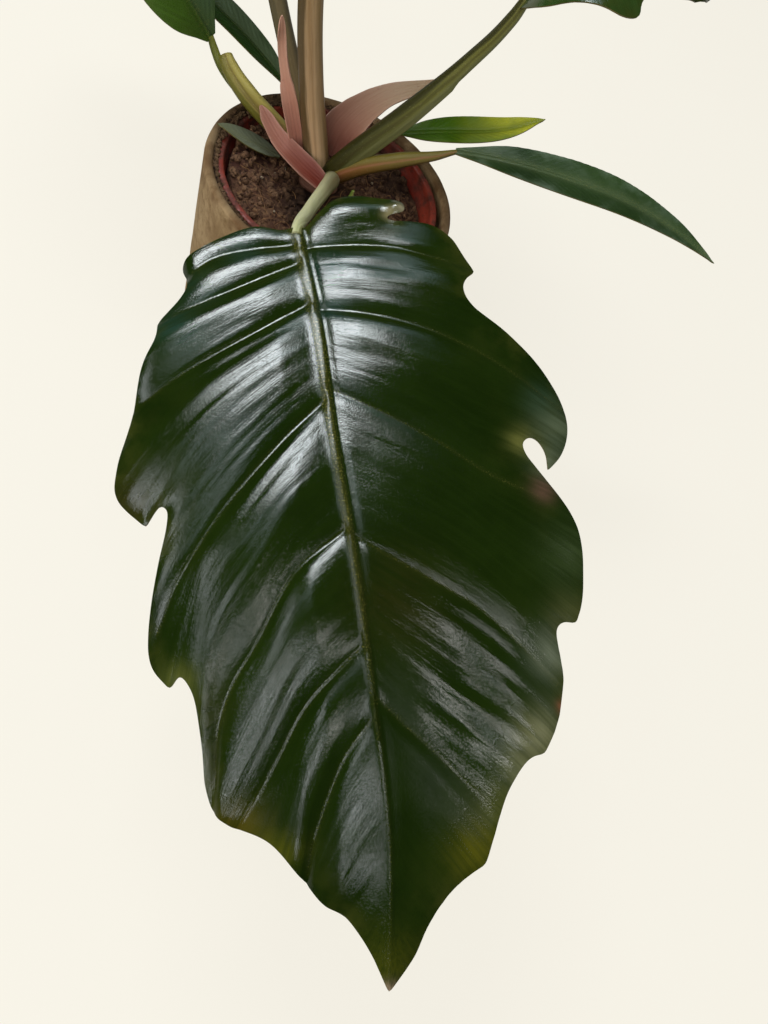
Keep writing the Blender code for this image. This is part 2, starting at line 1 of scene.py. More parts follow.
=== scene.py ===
"""The looks of a potted philodendron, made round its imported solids. Each grown or moulded piece is
made again here, finer and with its own surface, and the pot stands on a pale floor in soft light.
Lengths in this file are in millimetres until a mesh is made."""

import math

import bmesh
import bpy
import numpy as np
from mathutils import Matrix, Vector, noise
from mathutils.geometry import delaunay_2d_cdt, interpolate_bezier


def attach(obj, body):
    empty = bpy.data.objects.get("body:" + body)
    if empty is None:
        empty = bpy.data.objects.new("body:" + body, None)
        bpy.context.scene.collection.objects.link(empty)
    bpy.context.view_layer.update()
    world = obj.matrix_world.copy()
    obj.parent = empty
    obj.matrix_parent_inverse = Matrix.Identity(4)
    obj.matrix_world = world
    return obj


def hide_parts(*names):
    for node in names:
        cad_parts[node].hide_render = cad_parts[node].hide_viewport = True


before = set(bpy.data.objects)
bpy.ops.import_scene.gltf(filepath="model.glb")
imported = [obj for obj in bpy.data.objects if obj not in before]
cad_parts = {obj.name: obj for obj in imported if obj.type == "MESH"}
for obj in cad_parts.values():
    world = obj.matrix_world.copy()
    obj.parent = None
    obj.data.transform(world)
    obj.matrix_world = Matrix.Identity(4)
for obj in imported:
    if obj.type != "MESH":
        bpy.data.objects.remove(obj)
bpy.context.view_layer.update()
MM = 0.001


# ---------------------------------------------------------------- cover pot
# The outer pot is a round, straight-walled pot of pressed and unglazed kraft-coloured paste.
# It is drawn up from its foot to a rolled rim, and it has damp stains and a few soft dents.
COVER_RADIUS = 72.5
COVER_HEIGHT = 124.0
COVER_WALL = 5.0
COVER_FLOOR = 5.0
COVER_SIDES = 144
FOOT_ROUND = 6.0
CORNER_ROUND = 4.0
BIG_DENTS = 0.45
SMALL_DENTS = 0.16
RIM_WAVE = 0.5


def paint(red, green, blue):
    """A colour as it is seen, 0 to 255, as the linear light that a shader takes."""
    seen = np.array([red, green, blue]) / 255
    return (*np.where(seen <= 0.04045, seen / 12.92, ((seen + 0.055) / 1.055) ** 2.4).tolist(), 1.0)


def put(tree, kind, inputs=None, **settings):
    """Adds a node to a tree, with its settings, and with its inputs linked or given a value."""
    made = tree.nodes.new(kind)
    for key, value in settings.items():
        setattr(made, key, value)
    for key, value in (inputs or {}).items():
        if isinstance(value, bpy.types.NodeSocket):
            tree.links.new(value, made.inputs[key])
        else:
            made.inputs[key].default_value = value
    return made


def blend(tree, share, first, second):
    """Mixes two colours by a share from 0 to 1."""
    return put(tree, "ShaderNodeMix", {0: share, 6: first, 7: second}, data_type="RGBA").outputs[2]


def reckon(tree, kind, first, second=0.0):
    """Reckons with two numbers, as in ADD or DIVIDE."""
    return put(tree, "ShaderNodeMath", {0: first, 1: second}, operation=kind).outputs[0]


def plus(tree, first, second):
    """The sum of two numbers."""
    return reckon(tree, "ADD", first, second)


def times(tree, first, *others):
    """The product of numbers."""
    for other in others:
        first = reckon(tree, "MULTIPLY", first, other)
    return first


def parts(tree, vector):
    """The three numbers of a vector."""
    return put(tree, "ShaderNodeSeparateXYZ", {0: vector}).outputs


def specks(tree, place, scale, detail, roughness=0.5):
    """Fine even noise, with its scale per mm."""
    inputs = {"Vector": place, "Scale": scale, "Detail": detail, "Roughness": roughness}
    return put(tree, "ShaderNodeTexNoise", inputs).outputs["Fac"]


def ramp(tree, value, low, high, start=0.0, end=1.0):
    """Spreads a value between low and high over start to end, with soft ends."""
    made = put(tree, "ShaderNodeMapRange", {"Value": value, "From Min": low, "From Max": high,
                                            "To Min": start, "To Max": end},
               interpolation_type="SMOOTHSTEP")
    return made.outputs[0]


def new_group(name, inputs, outputs):
    """An empty node group with its sockets. Each input has a default number, or None for a vector."""
    tree = bpy.data.node_groups.new(name, "ShaderNodeTree")
    for key, value in inputs:
        kind = "NodeSocketVector" if value is None else "NodeSocketFloat"
        socket = tree.interface.new_socket(key, in_out="INPUT", socket_type=kind)
        if value is not None:
            socket.default_value = value
    for key in outputs:
        tree.interface.new_socket(key, in_out="OUTPUT", socket_type="NodeSocketFloat")
    return tree, put(tree, "NodeGroupInput"), put(tree, "NodeGroupOutput")


def clouds_group():
    """Stains and mottling: soft uneven patches of a size in mm, spread out between low and high."""
    inputs = (("Place", None), ("Size", 10.0), ("Low", 0.4), ("High", 0.6), ("Seed", 0.0))
    tree, ends, out = new_group("clouds", inputs, ("Mask",))
    smaller = reckon(tree, "DIVIDE", 1.0, ends.outputs["Size"])
    place = put(tree, "ShaderNodeVectorMath", {0: ends.outputs["Place"], "Scale": smaller},
                operation="SCALE")
    patches = put(tree, "ShaderNodeTexNoise", {"Vector": place.outputs[0], "W": ends.outputs["Seed"],
                                               "Scale": 1.0, "Detail": 4.0, "Roughness": 0.6},
                  noise_dimensions="4D")
    mask = ramp(tree, patches.outputs["Fac"], ends.outputs["Low"], ends.outputs["High"])
    tree.links.new(mask, out.inputs["Mask"])
    return tree


CLOUDS = clouds_group()


def clouds(tree, place, size, low=0.4, high=0.6, seed=0.0):
    """The clouds effect, placed in a finish."""
    inputs = {"Place": place, "Size": size, "Low": low, "High": high, "Seed": seed}
    return put(tree, "ShaderNodeGroup", inputs, node_tree=CLOUDS).outputs["Mask"]


def new_finish(name, roughness):
    """An empty material: its tree, its shader, and the place on the piece in mm."""
    made = bpy.data.materials.new(name)
    made.use_nodes = True
    tree = made.node_tree
    shader = tree.nodes["Principled BSDF"]
    shader.inputs["Roughness"].default_value = roughness
    spot = put(tree, "ShaderNodeTexCoord")
    place = put(tree, "ShaderNodeVectorMath", {0: spot.outputs["Object"], "Scale": 1 / MM},
                operation="SCALE")
    return made, tree, shader, place.outputs[0]


def coat(tree, shader, colour):
    """Gives a finish its colour."""
    tree.links.new(colour, shader.inputs["Base Color"])


def relief(tree, shader, height, depth):
    """Lets a height from 0 to 1 stand up from the surface by a depth in mm."""
    made = put(tree, "ShaderNodeBump", {"Height": height, "Distance": depth * MM, "Strength": 1.0})
    tree.links.new(made.outputs[0], shader.inputs["Normal"])


def deselect():
    """Selects nothing."""
    bpy.ops.object.select_all(action="DESELECT")


def pick(obj):
    """Selects one piece alone."""
    deselect()
    obj.select_set(True)
    bpy.context.view_layer.objects.active = obj


def arc(centre, radius, start, end, count):
    """Points of a round corner of a profile, with its angles in degrees from straight outwards."""
    turn = np.radians(np.linspace(start, end, count))
    return [(centre[0] + radius * math.cos(a), centre[1] + radius * math.sin(a)) for a in turn]


def drawn_up(name, profile, sides, centre=(0, 0)):
    """A round piece, drawn up from a disc ring by ring through (radius, height) and closed in its
    middle."""
    deselect()
    x, y = centre[0] * MM, centre[1] * MM
    radius, height = profile[0]
    bpy.ops.mesh.primitive_circle_add(vertices=sides, radius=radius * MM, fill_type="TRIFAN",
                                      location=(x, y, height * MM))
    made = bpy.context.object
    made.name = name
    bpy.ops.object.mode_set(mode="EDIT")
    bpy.ops.mesh.select_mode(type="EDGE")
    shape = bmesh.from_edit_mesh(made.data)
    for edge in shape.edges:
        edge.select = edge.is_boundary
    shape.select_flush_mode()
    bmesh.update_edit_mesh(made.data)
    for (r0, z0), (r1, z1) in zip(profile, profile[1:]):
        bpy.ops.mesh.extrude_edges_move(TRANSFORM_OT_translate={"value": (0, 0, (z1 - z0) * MM)})
        bpy.ops.transform.resize(value=(r1 / r0, r1 / r0, 1), center_override=(x, y, z1 * MM))
    bpy.ops.mesh.edge_face_add()
    bpy.ops.mesh.poke()
    bpy.ops.mesh.select_all(action="SELECT")
    bpy.ops.mesh.normals_make_consistent(inside=False)
    bpy.ops.object.mode_set(mode="OBJECT")
    bpy.ops.object.transform_apply(location=True, rotation=True, scale=True)
    return made


def points_of(obj):
    """The points of a mesh in mm."""
    flat = np.zeros(len(obj.data.vertices) * 3, np.float32)
    obj.data.vertices.foreach_get("co", flat)
    return flat.reshape(-1, 3).astype(float) / MM


def move_points(obj, points):
    """Moves the points of a mesh to places in mm."""
    obj.data.vertices.foreach_set("co", (np.asarray(points, np.float32) * MM).ravel())
    obj.data.update()


def rough(points, size, seed=0.0):
    """A smooth random number from -1 to 1 for each point, which changes over a size in mm."""
    shift = Vector((seed, seed * 0.7, -seed))
    return np.array([noise.noise(Vector(p) / size + shift) for p in points])


def shade(obj, degrees):
    """Smooths a piece's shading, except at edges sharper than an angle."""
    pick(obj)
    bpy.ops.object.shade_smooth_by_angle(angle=math.radians(degrees))


def settle(obj, node, slot, *finishes):
    """Gives a piece its finishes and lets it stand for its solid, if it has one. Its slot is not used.
    """
    for finish in finishes:
        obj.data.materials.append(finish)
    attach(obj, "root")
    if node:
        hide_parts(node)
    return obj


# Its outline from the middle of its foot, up over the rim and down to the middle of its floor
inner_radius = COVER_RADIUS - COVER_WALL
half_wall = COVER_WALL / 2
foot = [(60, 0), *arc((COVER_RADIUS - FOOT_ROUND, FOOT_ROUND), FOOT_ROUND, -90, 0, 8)]
outer_wall = [(COVER_RADIUS, z) for z in range(12, 120, 6)]
rim = arc((COVER_RADIUS - half_wall, COVER_HEIGHT - half_wall), half_wall, 0, 180, 13)
inner_wall = [(inner_radius, z) for z in range(116, 12, -8)]
corner = arc((inner_radius - CORNER_ROUND, COVER_FLOOR + CORNER_ROUND), CORNER_ROUND, 0, -90, 6)
profile = [*foot, *outer_wall, *rim, *inner_wall, *corner, (30, COVER_FLOOR)]
cover = drawn_up("cover_pot_kraft", profile, COVER_SIDES)
points = points_of(cover)

# It is pushed in and out a little by its dents, and its rim isn't quite level
x, y, z = points.T
dent = BIG_DENTS * rough(points * (1, 1, 0.6), 34) + SMALL_DENTS * rough(points, 9, 4)
dent *= np.clip(z / 20, 0, 1)
away = np.hypot(x, y)[:, None] + 1e-6
points[:, :2] += points[:, :2] / away * dent[:, None]
near_rim = np.clip((z - 110) / 12, 0, 1)
points[:, 2] += RIM_WAVE * rough(points, 30, 9) * near_rim - 0.4 * (z > 110)
move_points(cover, points)
shade(cover, 60)

kraft, tree, shader, place = new_finish("kraft_paste", 0.82)
colour = blend(tree, clouds(tree, place, 26, 0.35, 0.7), paint(166, 142, 106), paint(138, 113, 78))
colour = blend(tree, clouds(tree, place, 5, 0.45, 0.75, 3.0), colour, paint(119, 94, 62))
fibre = specks(tree, place, 1.3, 6.0, 0.7)
colour = blend(tree, ramp(tree, fibre, 0.56, 0.72), colour, paint(181, 158, 122))

# Damp has crept down from the rim, compost is smeared on the upper left, and the rim's top is darker
x, y, z = parts(tree, place)
damp_and_shade = times(tree, ramp(tree, z, 84, 122), clouds(tree, place, 17, 0.38, 0.62, 7.0))
colour = blend(tree, times(tree, damp_and_shade, 0.75), colour, paint(96, 66, 38))
leftward = ramp(tree, times(tree, x, -1), 38, 66)
dirty = times(tree, leftward, ramp(tree, y, -36, -8), ramp(tree, z, 112, 121))
dirty = times(tree, dirty, clouds(tree, place, 9, 0.2, 0.5, 3.0))
colour = blend(tree, times(tree, dirty, 0.85), colour, paint(66, 48, 30))
top_edge = ramp(tree, z, 121.6, 123.6, 0.0, 0.45)
coat(tree, shader, blend(tree, top_edge, colour, paint(88, 66, 42)))
relief(tree, shader, specks(tree, place, 2.2, 5.0, 0.65), 0.5)
shader.inputs["Specular IOR Level"].default_value = 0.25
settle(cover, "cover_pot", "cover", kraft)


# ---------------------------------------------------------------- nursery pot
# The plant's own pot is thin terracotta-red plastic, blown in one piece with a turned-out rim.
# It stands inside the cover pot, a little off centre, and has compost smeared on its inside.
RIM_RADIUS = 65.0
TOP_RADIUS = 61.0
BASE_RADIUS = 46.0
NURSERY_HEIGHT = 115.0
NURSERY_WALL = 1.2
NURSERY_FLOOR = 1.8
NURSERY_OFFSET = (-1.4, 1.2)
NURSERY_SIDES = 128
LIP_WALL = 1.2
LIP_DEPTH = 6.0
OUTER_ROUND = 0.9
INNER_ROUND = 1.2
RIM_WARP = 0.35
GAP = 0.3
base = COVER_FLOOR + GAP
rim_z = base + NURSERY_HEIGHT
top_out = TOP_RADIUS + NURSERY_WALL


def slope(start, end, count):
    """Evenly spaced points of a straight wall of a profile, without its ends."""
    way = np.array(end) - start
    return [tuple(np.array(start) + way * k / (count + 1)) for k in range(1, count + 1)]


# Its outline up the outside, round the turned-down lip, and down the inside, which has a small step
# below the rim
lip_in, lip_low = RIM_RADIUS - LIP_WALL, rim_z - LIP_DEPTH
outside = [(20, base), (BASE_RADIUS - 1, base), (BASE_RADIUS, base + 1)]
outside += slope((BASE_RADIUS, base + 1), (top_out, rim_z - 2), 14)
lip = [(top_out, rim_z - 2.2), (lip_in, rim_z - 2.0), (lip_in, lip_low)]
lip += [(RIM_RADIUS - 0.6, lip_low - 0.3), (RIM_RADIUS, lip_low), (RIM_RADIUS, rim_z - 1)]
lip += arc((RIM_RADIUS - OUTER_ROUND, rim_z - OUTER_ROUND), OUTER_ROUND, 0, 90, 5)
lip += arc((TOP_RADIUS + INNER_ROUND, rim_z - INNER_ROUND), INNER_ROUND, 90, 180, 5)
inside_wall = [(TOP_RADIUS, rim_z - 1.6), (TOP_RADIUS - 0.8, rim_z - 7)]
inside_wall += [(TOP_RADIUS - 1.3, rim_z - 7.6)]
inside_wall += slope(inside_wall[-1], (BASE_RADIUS - NURSERY_WALL, base + 2), 8)
bottom = [(BASE_RADIUS - NURSERY_WALL - 1, base + NURSERY_FLOOR), (20, base + NURSERY_FLOOR)]
profile = [*outside, *lip, *inside_wall, *bottom]
nursery = drawn_up("nursery_pot_plastic", profile, NURSERY_SIDES, NURSERY_OFFSET)
points = points_of(nursery)
turn = np.arctan2(points[:, 1] - NURSERY_OFFSET[1], points[:, 0] - NURSERY_OFFSET[0])
points[:, 2] += RIM_WARP * np.sin(3 * turn + 1) * np.clip((points[:, 2] - 100) / 15, 0, 1)
move_points(nursery, points)
shade(nursery, 35)

red, tree, shader, place = new_finish("red_plastic", 0.42)
colour = blend(tree, clouds(tree, place, 22, 0.3, 0.7), paint(146, 58, 42), paint(104, 32, 24))
smear = times(tree, clouds(tree, place, 12, 0.42, 0.62, 5.0), 0.85)
colour = blend(tree, smear, colour, paint(66, 40, 28))
crumb = clouds(tree, place, 1.6, 0.55, 0.66, 8.0)
coat(tree, shader, blend(tree, times(tree, crumb, 0.6), colour, paint(52, 33, 23)))
tree.links.new(ramp(tree, smear, 0.0, 0.8, 0.38, 0.85), shader.inputs["Roughness"])
relief(tree, shader, plus(tree, specks(tree, place, 1.8, 4.0), crumb), 0.12)
settle(nursery, "nursery_pot", "nursery", red)


# ---------------------------------------------------------------- soil
# The compost is dark peat with coir fibres, bark crumbs and a few pale bits. It was poured round the
# stem and pressed down by hand, so it is banked at the left and back and hollow at the right.

# Its round body, the spots it is shaped round, and how much lies loose on it
SOIL_RADIUS = 58.4
SOIL_SIDES = 200
SOIL_RINGS = 56
SOIL_BELOW_RIM = 12.0
SOIL_BANK = 8.0
SOIL_HOLLOW = 3.0
SOIL_LUMPS = 1.6
LEVEL_SPOT = (-11, 7)
STEM_SPOT = (-10.6, 6.8)
CRUMBS = 620
PALE_BITS = 12
PALE_REACH = 50
FIBRES = 190
FIBRE_STEPS = 8
FIBRE_REACH = 54
LOOSE_REACH = 57
SPILLED = 760
SPILL_RADIUS = 66.2
SPILL_HEIGHT = 119.9
soil_z = rim_z - SOIL_BELOW_RIM
draw = np.random.default_rng(7)


def soil_height(x, y):
    """The height of the soil's top at a place measured from the nursery pot's middle."""
    away = min(max((math.hypot(x - LEVEL_SPOT[0], y - LEVEL_SPOT[1]) - 16) / 28, 0), 1)
    bank = min(max(0.55 - (0.95 * x - 0.3 * y) / 70, 0), 1)
    lumps = SOIL_LUMPS * noise.noise(Vector((x, y, 0)) * 0.11)
    return soil_z + away ** 2 * (SOIL_BANK * bank - SOIL_HOLLOW * (1 - bank)) + lumps


floor_z = base + NURSERY_FLOOR + GAP
low_radius = BASE_RADIUS - NURSERY_WALL - GAP * 2
profile = [(20, floor_z), (low_radius, floor_z)]
profile += slope((low_radius, floor_z), (SOIL_RADIUS, 100), 4)
profile += [(SOIL_RADIUS - 0.6, 104), (SOIL_RADIUS - 0.2, 108)]
profile += [(SOIL_RADIUS - k, 110) for k in range(1, SOIL_RINGS)]
soil = drawn_up("soil_peat", profile, SOIL_SIDES, NURSERY_OFFSET)
points = points_of(soil)
top = points[:, 2] > 109
local = points[:, :2] - NURSERY_OFFSET
heights = np.array([soil_height(x, y) for x, y in local[top]])
crumbly = 1.1 * np.abs(rough(points[top], 5.0, 2)) + 0.7 * rough(points[top], 2.4, 5)
crumbly += 0.35 * rough(points[top], 1.2, 6)
points[top, 2] = heights + crumbly - 0.3
move_points(soil, points)
shade(soil, 80)


def far_from(tree, place, spot):
    """The distance in mm from a spot."""
    made = put(tree, "ShaderNodeVectorMath", {0: place, 1: spot}, operation="DISTANCE")
    return made.outputs["Value"]


def soil_finish(name, dark, light, fleck, size):
    """Compost: mottled, with flecks of a size in mm and tan and deep brown patches. It has painted
    shade, darkest in front of the stem and at the back right."""
    made, tree, shader, place = new_finish(name, 0.93)
    colour = blend(tree, clouds(tree, place, size * 3, 0.35, 0.65), dark, light)
    colour = blend(tree, clouds(tree, place, size, 0.5, 0.7, 2.0), colour, fleck)
    tan = clouds(tree, place, size * 5, 0.5, 0.66, 9.0)
    colour = blend(tree, times(tree, tan, 0.55), colour, paint(134, 104, 80))
    # Painted shade: darker near a spot in front of the stem and near one by the back right rim
    front = ramp(tree, far_from(tree, place, (2, -12, 112)), 38, 12, 0.0, 0.85)
    back = ramp(tree, far_from(tree, place, (20, 47, 104)), 22, 6, 0.0, 0.7)
    damp_and_shade = reckon(tree, "MAXIMUM", front, back)
    deep = times(tree, clouds(tree, place, size * 0.7, 0.5, 0.62, 6.0), 0.8)
    deep = reckon(tree, "MAXIMUM", deep, damp_and_shade)
    # The deep brown patches and the painted shade take the same dark colour
    coat(tree, shader, blend(tree, deep, colour, paint(24, 14, 10)))
    relief(tree, shader, specks(tree, place, 2.6 / size, 6.0, 0.75), 0.9)
    shader.inputs["Specular IOR Level"].default_value = 0.2
    return made


peat = soil_finish("peat", paint(66, 40, 32), paint(98, 70, 52), paint(138, 104, 72), 2.6)
settle(soil, "soil", "soil", peat)


def piece_from(name, points, faces):
    """A piece made from points in mm and faces."""
    mesh = bpy.data.meshes.new(name)
    mesh.from_pydata((np.asarray(points) * MM).tolist(), [], faces)
    made = bpy.data.objects.new(name, mesh)
    bpy.context.scene.collection.objects.link(made)
    return made


def scattered(name, shape, places, finish):
    """Many small copies of a shape, each turned and sized for its place, as one piece."""
    corners, faces = shape
    all_points, all_faces = [], []
    for spot, turn, size in places:
        all_faces += [[i + len(all_points) * len(corners) for i in face] for face in faces]
        all_points.append((corners * size) @ turn.T + spot)
    made = piece_from(name, np.vstack(all_points), all_faces)
    shade(made, 60)
    settle(made, None, "soil", finish)


def lump(seed):
    """The corners and faces of one crumb: a small ball pushed out of round."""
    deselect()
    bpy.ops.mesh.primitive_ico_sphere_add(subdivisions=2, radius=MM)
    ball = bpy.context.object
    corners = points_of(ball)
    corners *= (1 + 0.35 * rough(corners, 0.9, seed))[:, None]
    faces = [list(p.vertices) for p in ball.data.polygons]
    bpy.data.objects.remove(ball)
    return corners, faces


def any_turn():
    """A random turn as a matrix."""
    q, _ = np.linalg.qr(draw.normal(size=(3, 3)))
    return q * np.sign(np.linalg.det(q))


def on_soil(count, reach, keep_clear=13):
    """Random places on the soil, clear of the stem."""
    found = []
    while len(found) < count:
        x, y = draw.uniform(-reach, reach, 2)
        off_stem = math.hypot(x - STEM_SPOT[0], y - STEM_SPOT[1])
        if math.hypot(x, y) < reach and off_stem > keep_clear:
            found.append(np.array((x + NURSERY_OFFSET[0], y + NURSERY_OFFSET[1], soil_height(x, y))))
    return found


places = []
for spot in on_soil(CRUMBS, LOOSE_REACH):
    size = draw.uniform(0.45, 1.0) ** 2 * 2.6 * draw.uniform(0.5, 1.4, 3)
    places.append((spot + (0, 0, 0.25 * size.mean()), any_turn(), np.clip(size, 0.35, 3.2)))
bark_bits = soil_finish("bark_crumbs", paint(84, 58, 46), paint(120, 90, 66), paint(152, 118, 86), 1.4)
scattered("soil_crumbs", lump(1.0), places, bark_bits)

# Compost that fell between the two rims while potting, most of it at the left and the back. What
# lies on the cover pot's rim lies a little higher.
places = []
for _ in range(SPILLED):
    turn = math.radians(draw.uniform(96, 262))
    heap = math.exp(-((math.degrees(turn) - 168) / 30) ** 2)
    away = SPILL_RADIUS + draw.normal() * (0.5 + 1.3 * heap)
    size = draw.uniform(0.5, 1.0) * 1.25 * draw.uniform(0.6, 1.3, 3)
    lift = SPILL_HEIGHT + 0.8 * draw.uniform() + 1.2 * heap + (1.7 if away > 68.0 else 0)
    spot = np.array((away * math.cos(turn), away * math.sin(turn), lift))
    places.append((spot, any_turn(), np.clip(size, 0.4, 1.6)))
dust = soil_finish("spilled_compost", paint(74, 54, 36), paint(104, 82, 58), paint(62, 42, 30), 3.0)
scattered("spilled_crumbs", lump(5.0), places, dust)

# A few pale bits, of the kind that potting compost is loosened with
places = []
for spot in on_soil(PALE_BITS, PALE_REACH, 16):
    size = draw.uniform(0.5, 1.15) * draw.uniform(0.7, 1.3, 3)
    places.append((spot + (0, 0, 0.8), any_turn(), size))
pale, tree, shader, place = new_finish("pale_bits", 0.8)
coat(tree, shader, blend(tree, clouds(tree, place, 1.2), paint(168, 152, 128), paint(128, 106, 82)))
relief(tree, shader, clouds(tree, place, 0.6), 0.2)
scattered("soil_pale_bits", lump(3.0), places, pale)

# Coir fibres: thin bent threads, three-sided, lying over the compost
all_points, faces = [], []
for spot in on_soil(FIBRES, FIBRE_REACH, 14):
    heading = draw.uniform(0, math.tau)
    bendy = draw.uniform(-0.28, 0.28)
    long = draw.uniform(4, 15) / FIBRE_STEPS
    thick = draw.uniform(0.10, 0.24)
    lift = draw.uniform(0.1, 1.4)
    x, y = spot[:2] - NURSERY_OFFSET
    first = len(all_points)
    for k in range(FIBRE_STEPS + 1):
        away = math.hypot(x, y)
        if away > LOOSE_REACH:
            x, y = x * LOOSE_REACH / away, y * LOOSE_REACH / away
        z = soil_height(x, y) + 0.7 + lift * math.sin(math.pi * k / FIBRE_STEPS)
        across = np.array((-math.sin(heading), math.cos(heading), 0))
        slim = thick * (1 - 0.7 * k / FIBRE_STEPS)
        centre = np.array((x + NURSERY_OFFSET[0], y + NURSERY_OFFSET[1], z))
        for turn in (0, math.tau / 3, 2 * math.tau / 3):
            off = across * math.cos(turn) + np.array((0, 0, 1)) * math.sin(turn)
            all_points.append(centre + slim * off)
        x += long * math.cos(heading)
        y += long * math.sin(heading)
        heading += bendy + draw.uniform(-0.15, 0.15)
    for k in range(FIBRE_STEPS):
        for i in range(3):
            a, b = first + 3 * k + i, first + 3 * k + (i + 1) % 3
            faces.append((a, b, b + 3, a + 3))
    faces.append((first + 2, first + 1, first))
    last = first + 3 * FIBRE_STEPS
    faces.append((last, last + 1, last + 2))
fibres = piece_from("soil_fibres", all_points, faces)
shade(fibres, 80)
coir, tree, shader, place = new_finish("coir", 0.85)
colour = blend(tree, clouds(tree, place, 8, 0.3, 0.7), paint(150, 108, 66), paint(104, 72, 46))
coat(tree, shader, colour)
relief(tree, shader, clouds(tree, place, 0.5), 0.1)
settle(fibres, None, "soil", coir)


# ---------------------------------------------------------------- stem and stalks
# The stem is a short woody knot. Each leaf stalk leaves it as a fleshy, lengthways-ribbed rod with a
# shallow channel on its inner face, and some still carry the wings of the sheath they grew from.

# Each rod: the places on its middle line from its foot up, with its radius there
STEM = (((-12, 8, 84), 7.0), ((-12, 8, 96), 9.5), ((-12, 8, 108), 11.0), ((-12, 8, 116), 9.0))
STALKS = {
    "stalk_rear": (((-14, 9, 110), 7.0), ((-18, 9, 122), 7.4), ((-30, 3, 166), 6.6),
                   ((-38, -2, 205), 6.2), ((-44, -4, 245), 5.8), ((-52, 4, 290), 5.2),
                   ((-62, 22, 332), 4.4)),
    "stalk_right": (((-9, 9, 112), 5.8), ((-3, 10, 127), 6.0), ((20, 23, 171), 5.3),
                    ((36, 33, 205), 3.9), ((47.5, 31.5, 235), 3.1)),
    "stalk_front": (((-8, 8, 112), 4.2), ((-3, 3, 120), 4.7), ((6, -24, 136), 3.9),
                    ((22, -77, 165), 3.1), ((35, -115, 189), 2.6)),
    "stalk_rear_left": (((-22, 16, 115), 5.2), ((-27, 19, 121), 5.4), ((-48, 20, 150), 5.0),
                        ((-67, 20, 181), 4.8), ((-84, 20, 212), 4.4), ((-102, 26, 250), 4.0),
                        ((-122, 38, 288), 3.4)),
    "stalk_left": (((-25, 11, 117), 4.6), ((-34.9, 9.7, 119.7), 5.8), ((-47.3, 4.3, 128.1), 5.8),
                   ((-63.1, -0.8, 137.9), 5.6), ((-77.7, 0.8, 144.8), 4.7), ((-82, 2.8, 147), 4.0)),
    "stalk_long": (((-6, 6, 114), 4.2), ((1, 9, 125), 5.2), ((26, 18, 146), 4.2),
                   ((42, 26, 156), 2.5), ((49, 30, 161), 1.5)),
    "stalk_narrow": (((-24, 20, 112), 2.6), ((-38, 28, 120), 2.6), ((-56, 33, 130), 2.0)),
    "stalk_bright": (((-4, 16, 116), 2.6), ((6, 26, 135), 2.4), ((14, 34, 147), 1.8)),
}
# How each blade lies: points along its midrib, the turn about the midrib at base and tip in degrees,
# the rise from the midrib and the droop towards the edges, and the wave of the edges
BLADES = {
    "leaf_front": dict(midrib=((37, -120, 191), (70, -153, 189), (101, -188, 186), (133, -222, 183),
                               (164, -256, 177), (195, -290, 168), (222, -325, 153)),
                       tilt=(-14, -14), rise=0.08, droop=0.0018, wave=1.2, wavelength=46, phase=0.4),
    "leaf_rear": dict(midrib=((-63, 25, 334), (-72, 80, 350), (-84, 140, 346), (-95, 195, 318),
                              (-102, 240, 274)),
                      tilt=(4, 4), rise=0.10, droop=0.0022, wave=2.0, wavelength=50, phase=1.2),
    "leaf_rear_left": dict(midrib=((-125, 40, 290), (-172, 64, 306), (-226, 92, 304), (-274, 116, 280),
                                   (-308, 134, 244)),
                           tilt=(-6, -6), rise=0.10, droop=0.0022, wave=2.0, wavelength=46, phase=2.4),
    "leaf_right": dict(midrib=((49, 33, 244), (61, 39, 269), (84, 53, 281), (103, 71, 277),
                               (113, 89, 270)),
                       tilt=(6, -38), rise=0.14, droop=0.0030, wave=1.6, wavelength=40, phase=0.6),
    "leaf_left": dict(midrib=((-92, 2, 152), (-105, -4, 168), (-121, -8, 184), (-142, -10, 194),
                              (-166, -10, 196)),
                      tilt=(28, 28), rise=0.15, droop=0.006, wave=0.6, wavelength=40, phase=0.0),
    "leaf_long": dict(midrib=((50, 31, 162), (83, 43, 170), (133, 62, 175), (172, 75, 172),
                              (205, 84, 165)),
                      tilt=(-4, -4), rise=0.25, droop=0.006, wave=0.0, wavelength=60, phase=0.0),
    "leaf_narrow": dict(midrib=((-57, 33.5, 131), (-83, 34, 140), (-107, 33, 147), (-140, 33, 152),
                                (-168, 33, 150)),
                        tilt=(-10, -10), rise=0.3, droop=0.01, wave=0.0, wavelength=60, phase=0.0),
    "leaf_bright": dict(midrib=((15, 35, 148), (35, 45, 157.5), (61, 60.5, 168.5), (79, 79, 179.5)),
                        tilt=(-6, -6), rise=0.3, droop=0.01, wave=0.0, wavelength=60, phase=0.0),
    "leaf_small": dict(midrib=((-38, 4, 111), (-47, -4, 116), (-57, -14, 122), (-67, -24, 129)),
                       tilt=(0, 0), rise=0.3, droop=0.02, wave=0.0, wavelength=60, phase=0.0),
}


def smooth_line(points, step):
    """Points about a step apart on a smooth curve through the given points, without its end."""
    points = [np.array(p, float) for p in points]
    ends = [2 * points[0] - points[1], *points, 2 * points[-1] - points[-2]]
    line = []
    for a, b, c, d in zip(ends, ends[1:], ends[2:], ends[3:]):
        count = max(1, round(np.linalg.norm(c - b) / step))
        for i in range(count):
            t = i / count
            line.append(0.5 * (2 * b + (c - a) * t + (2 * a - 5 * b + 4 * c - d) * t ** 2
                               + (3 * b - a - 3 * c + d) * t ** 3))
    return line


def whole_line(points, step):
    """The same, with the curve's end."""
    return np.array([*smooth_line(points, step), np.array(points[-1], float)])


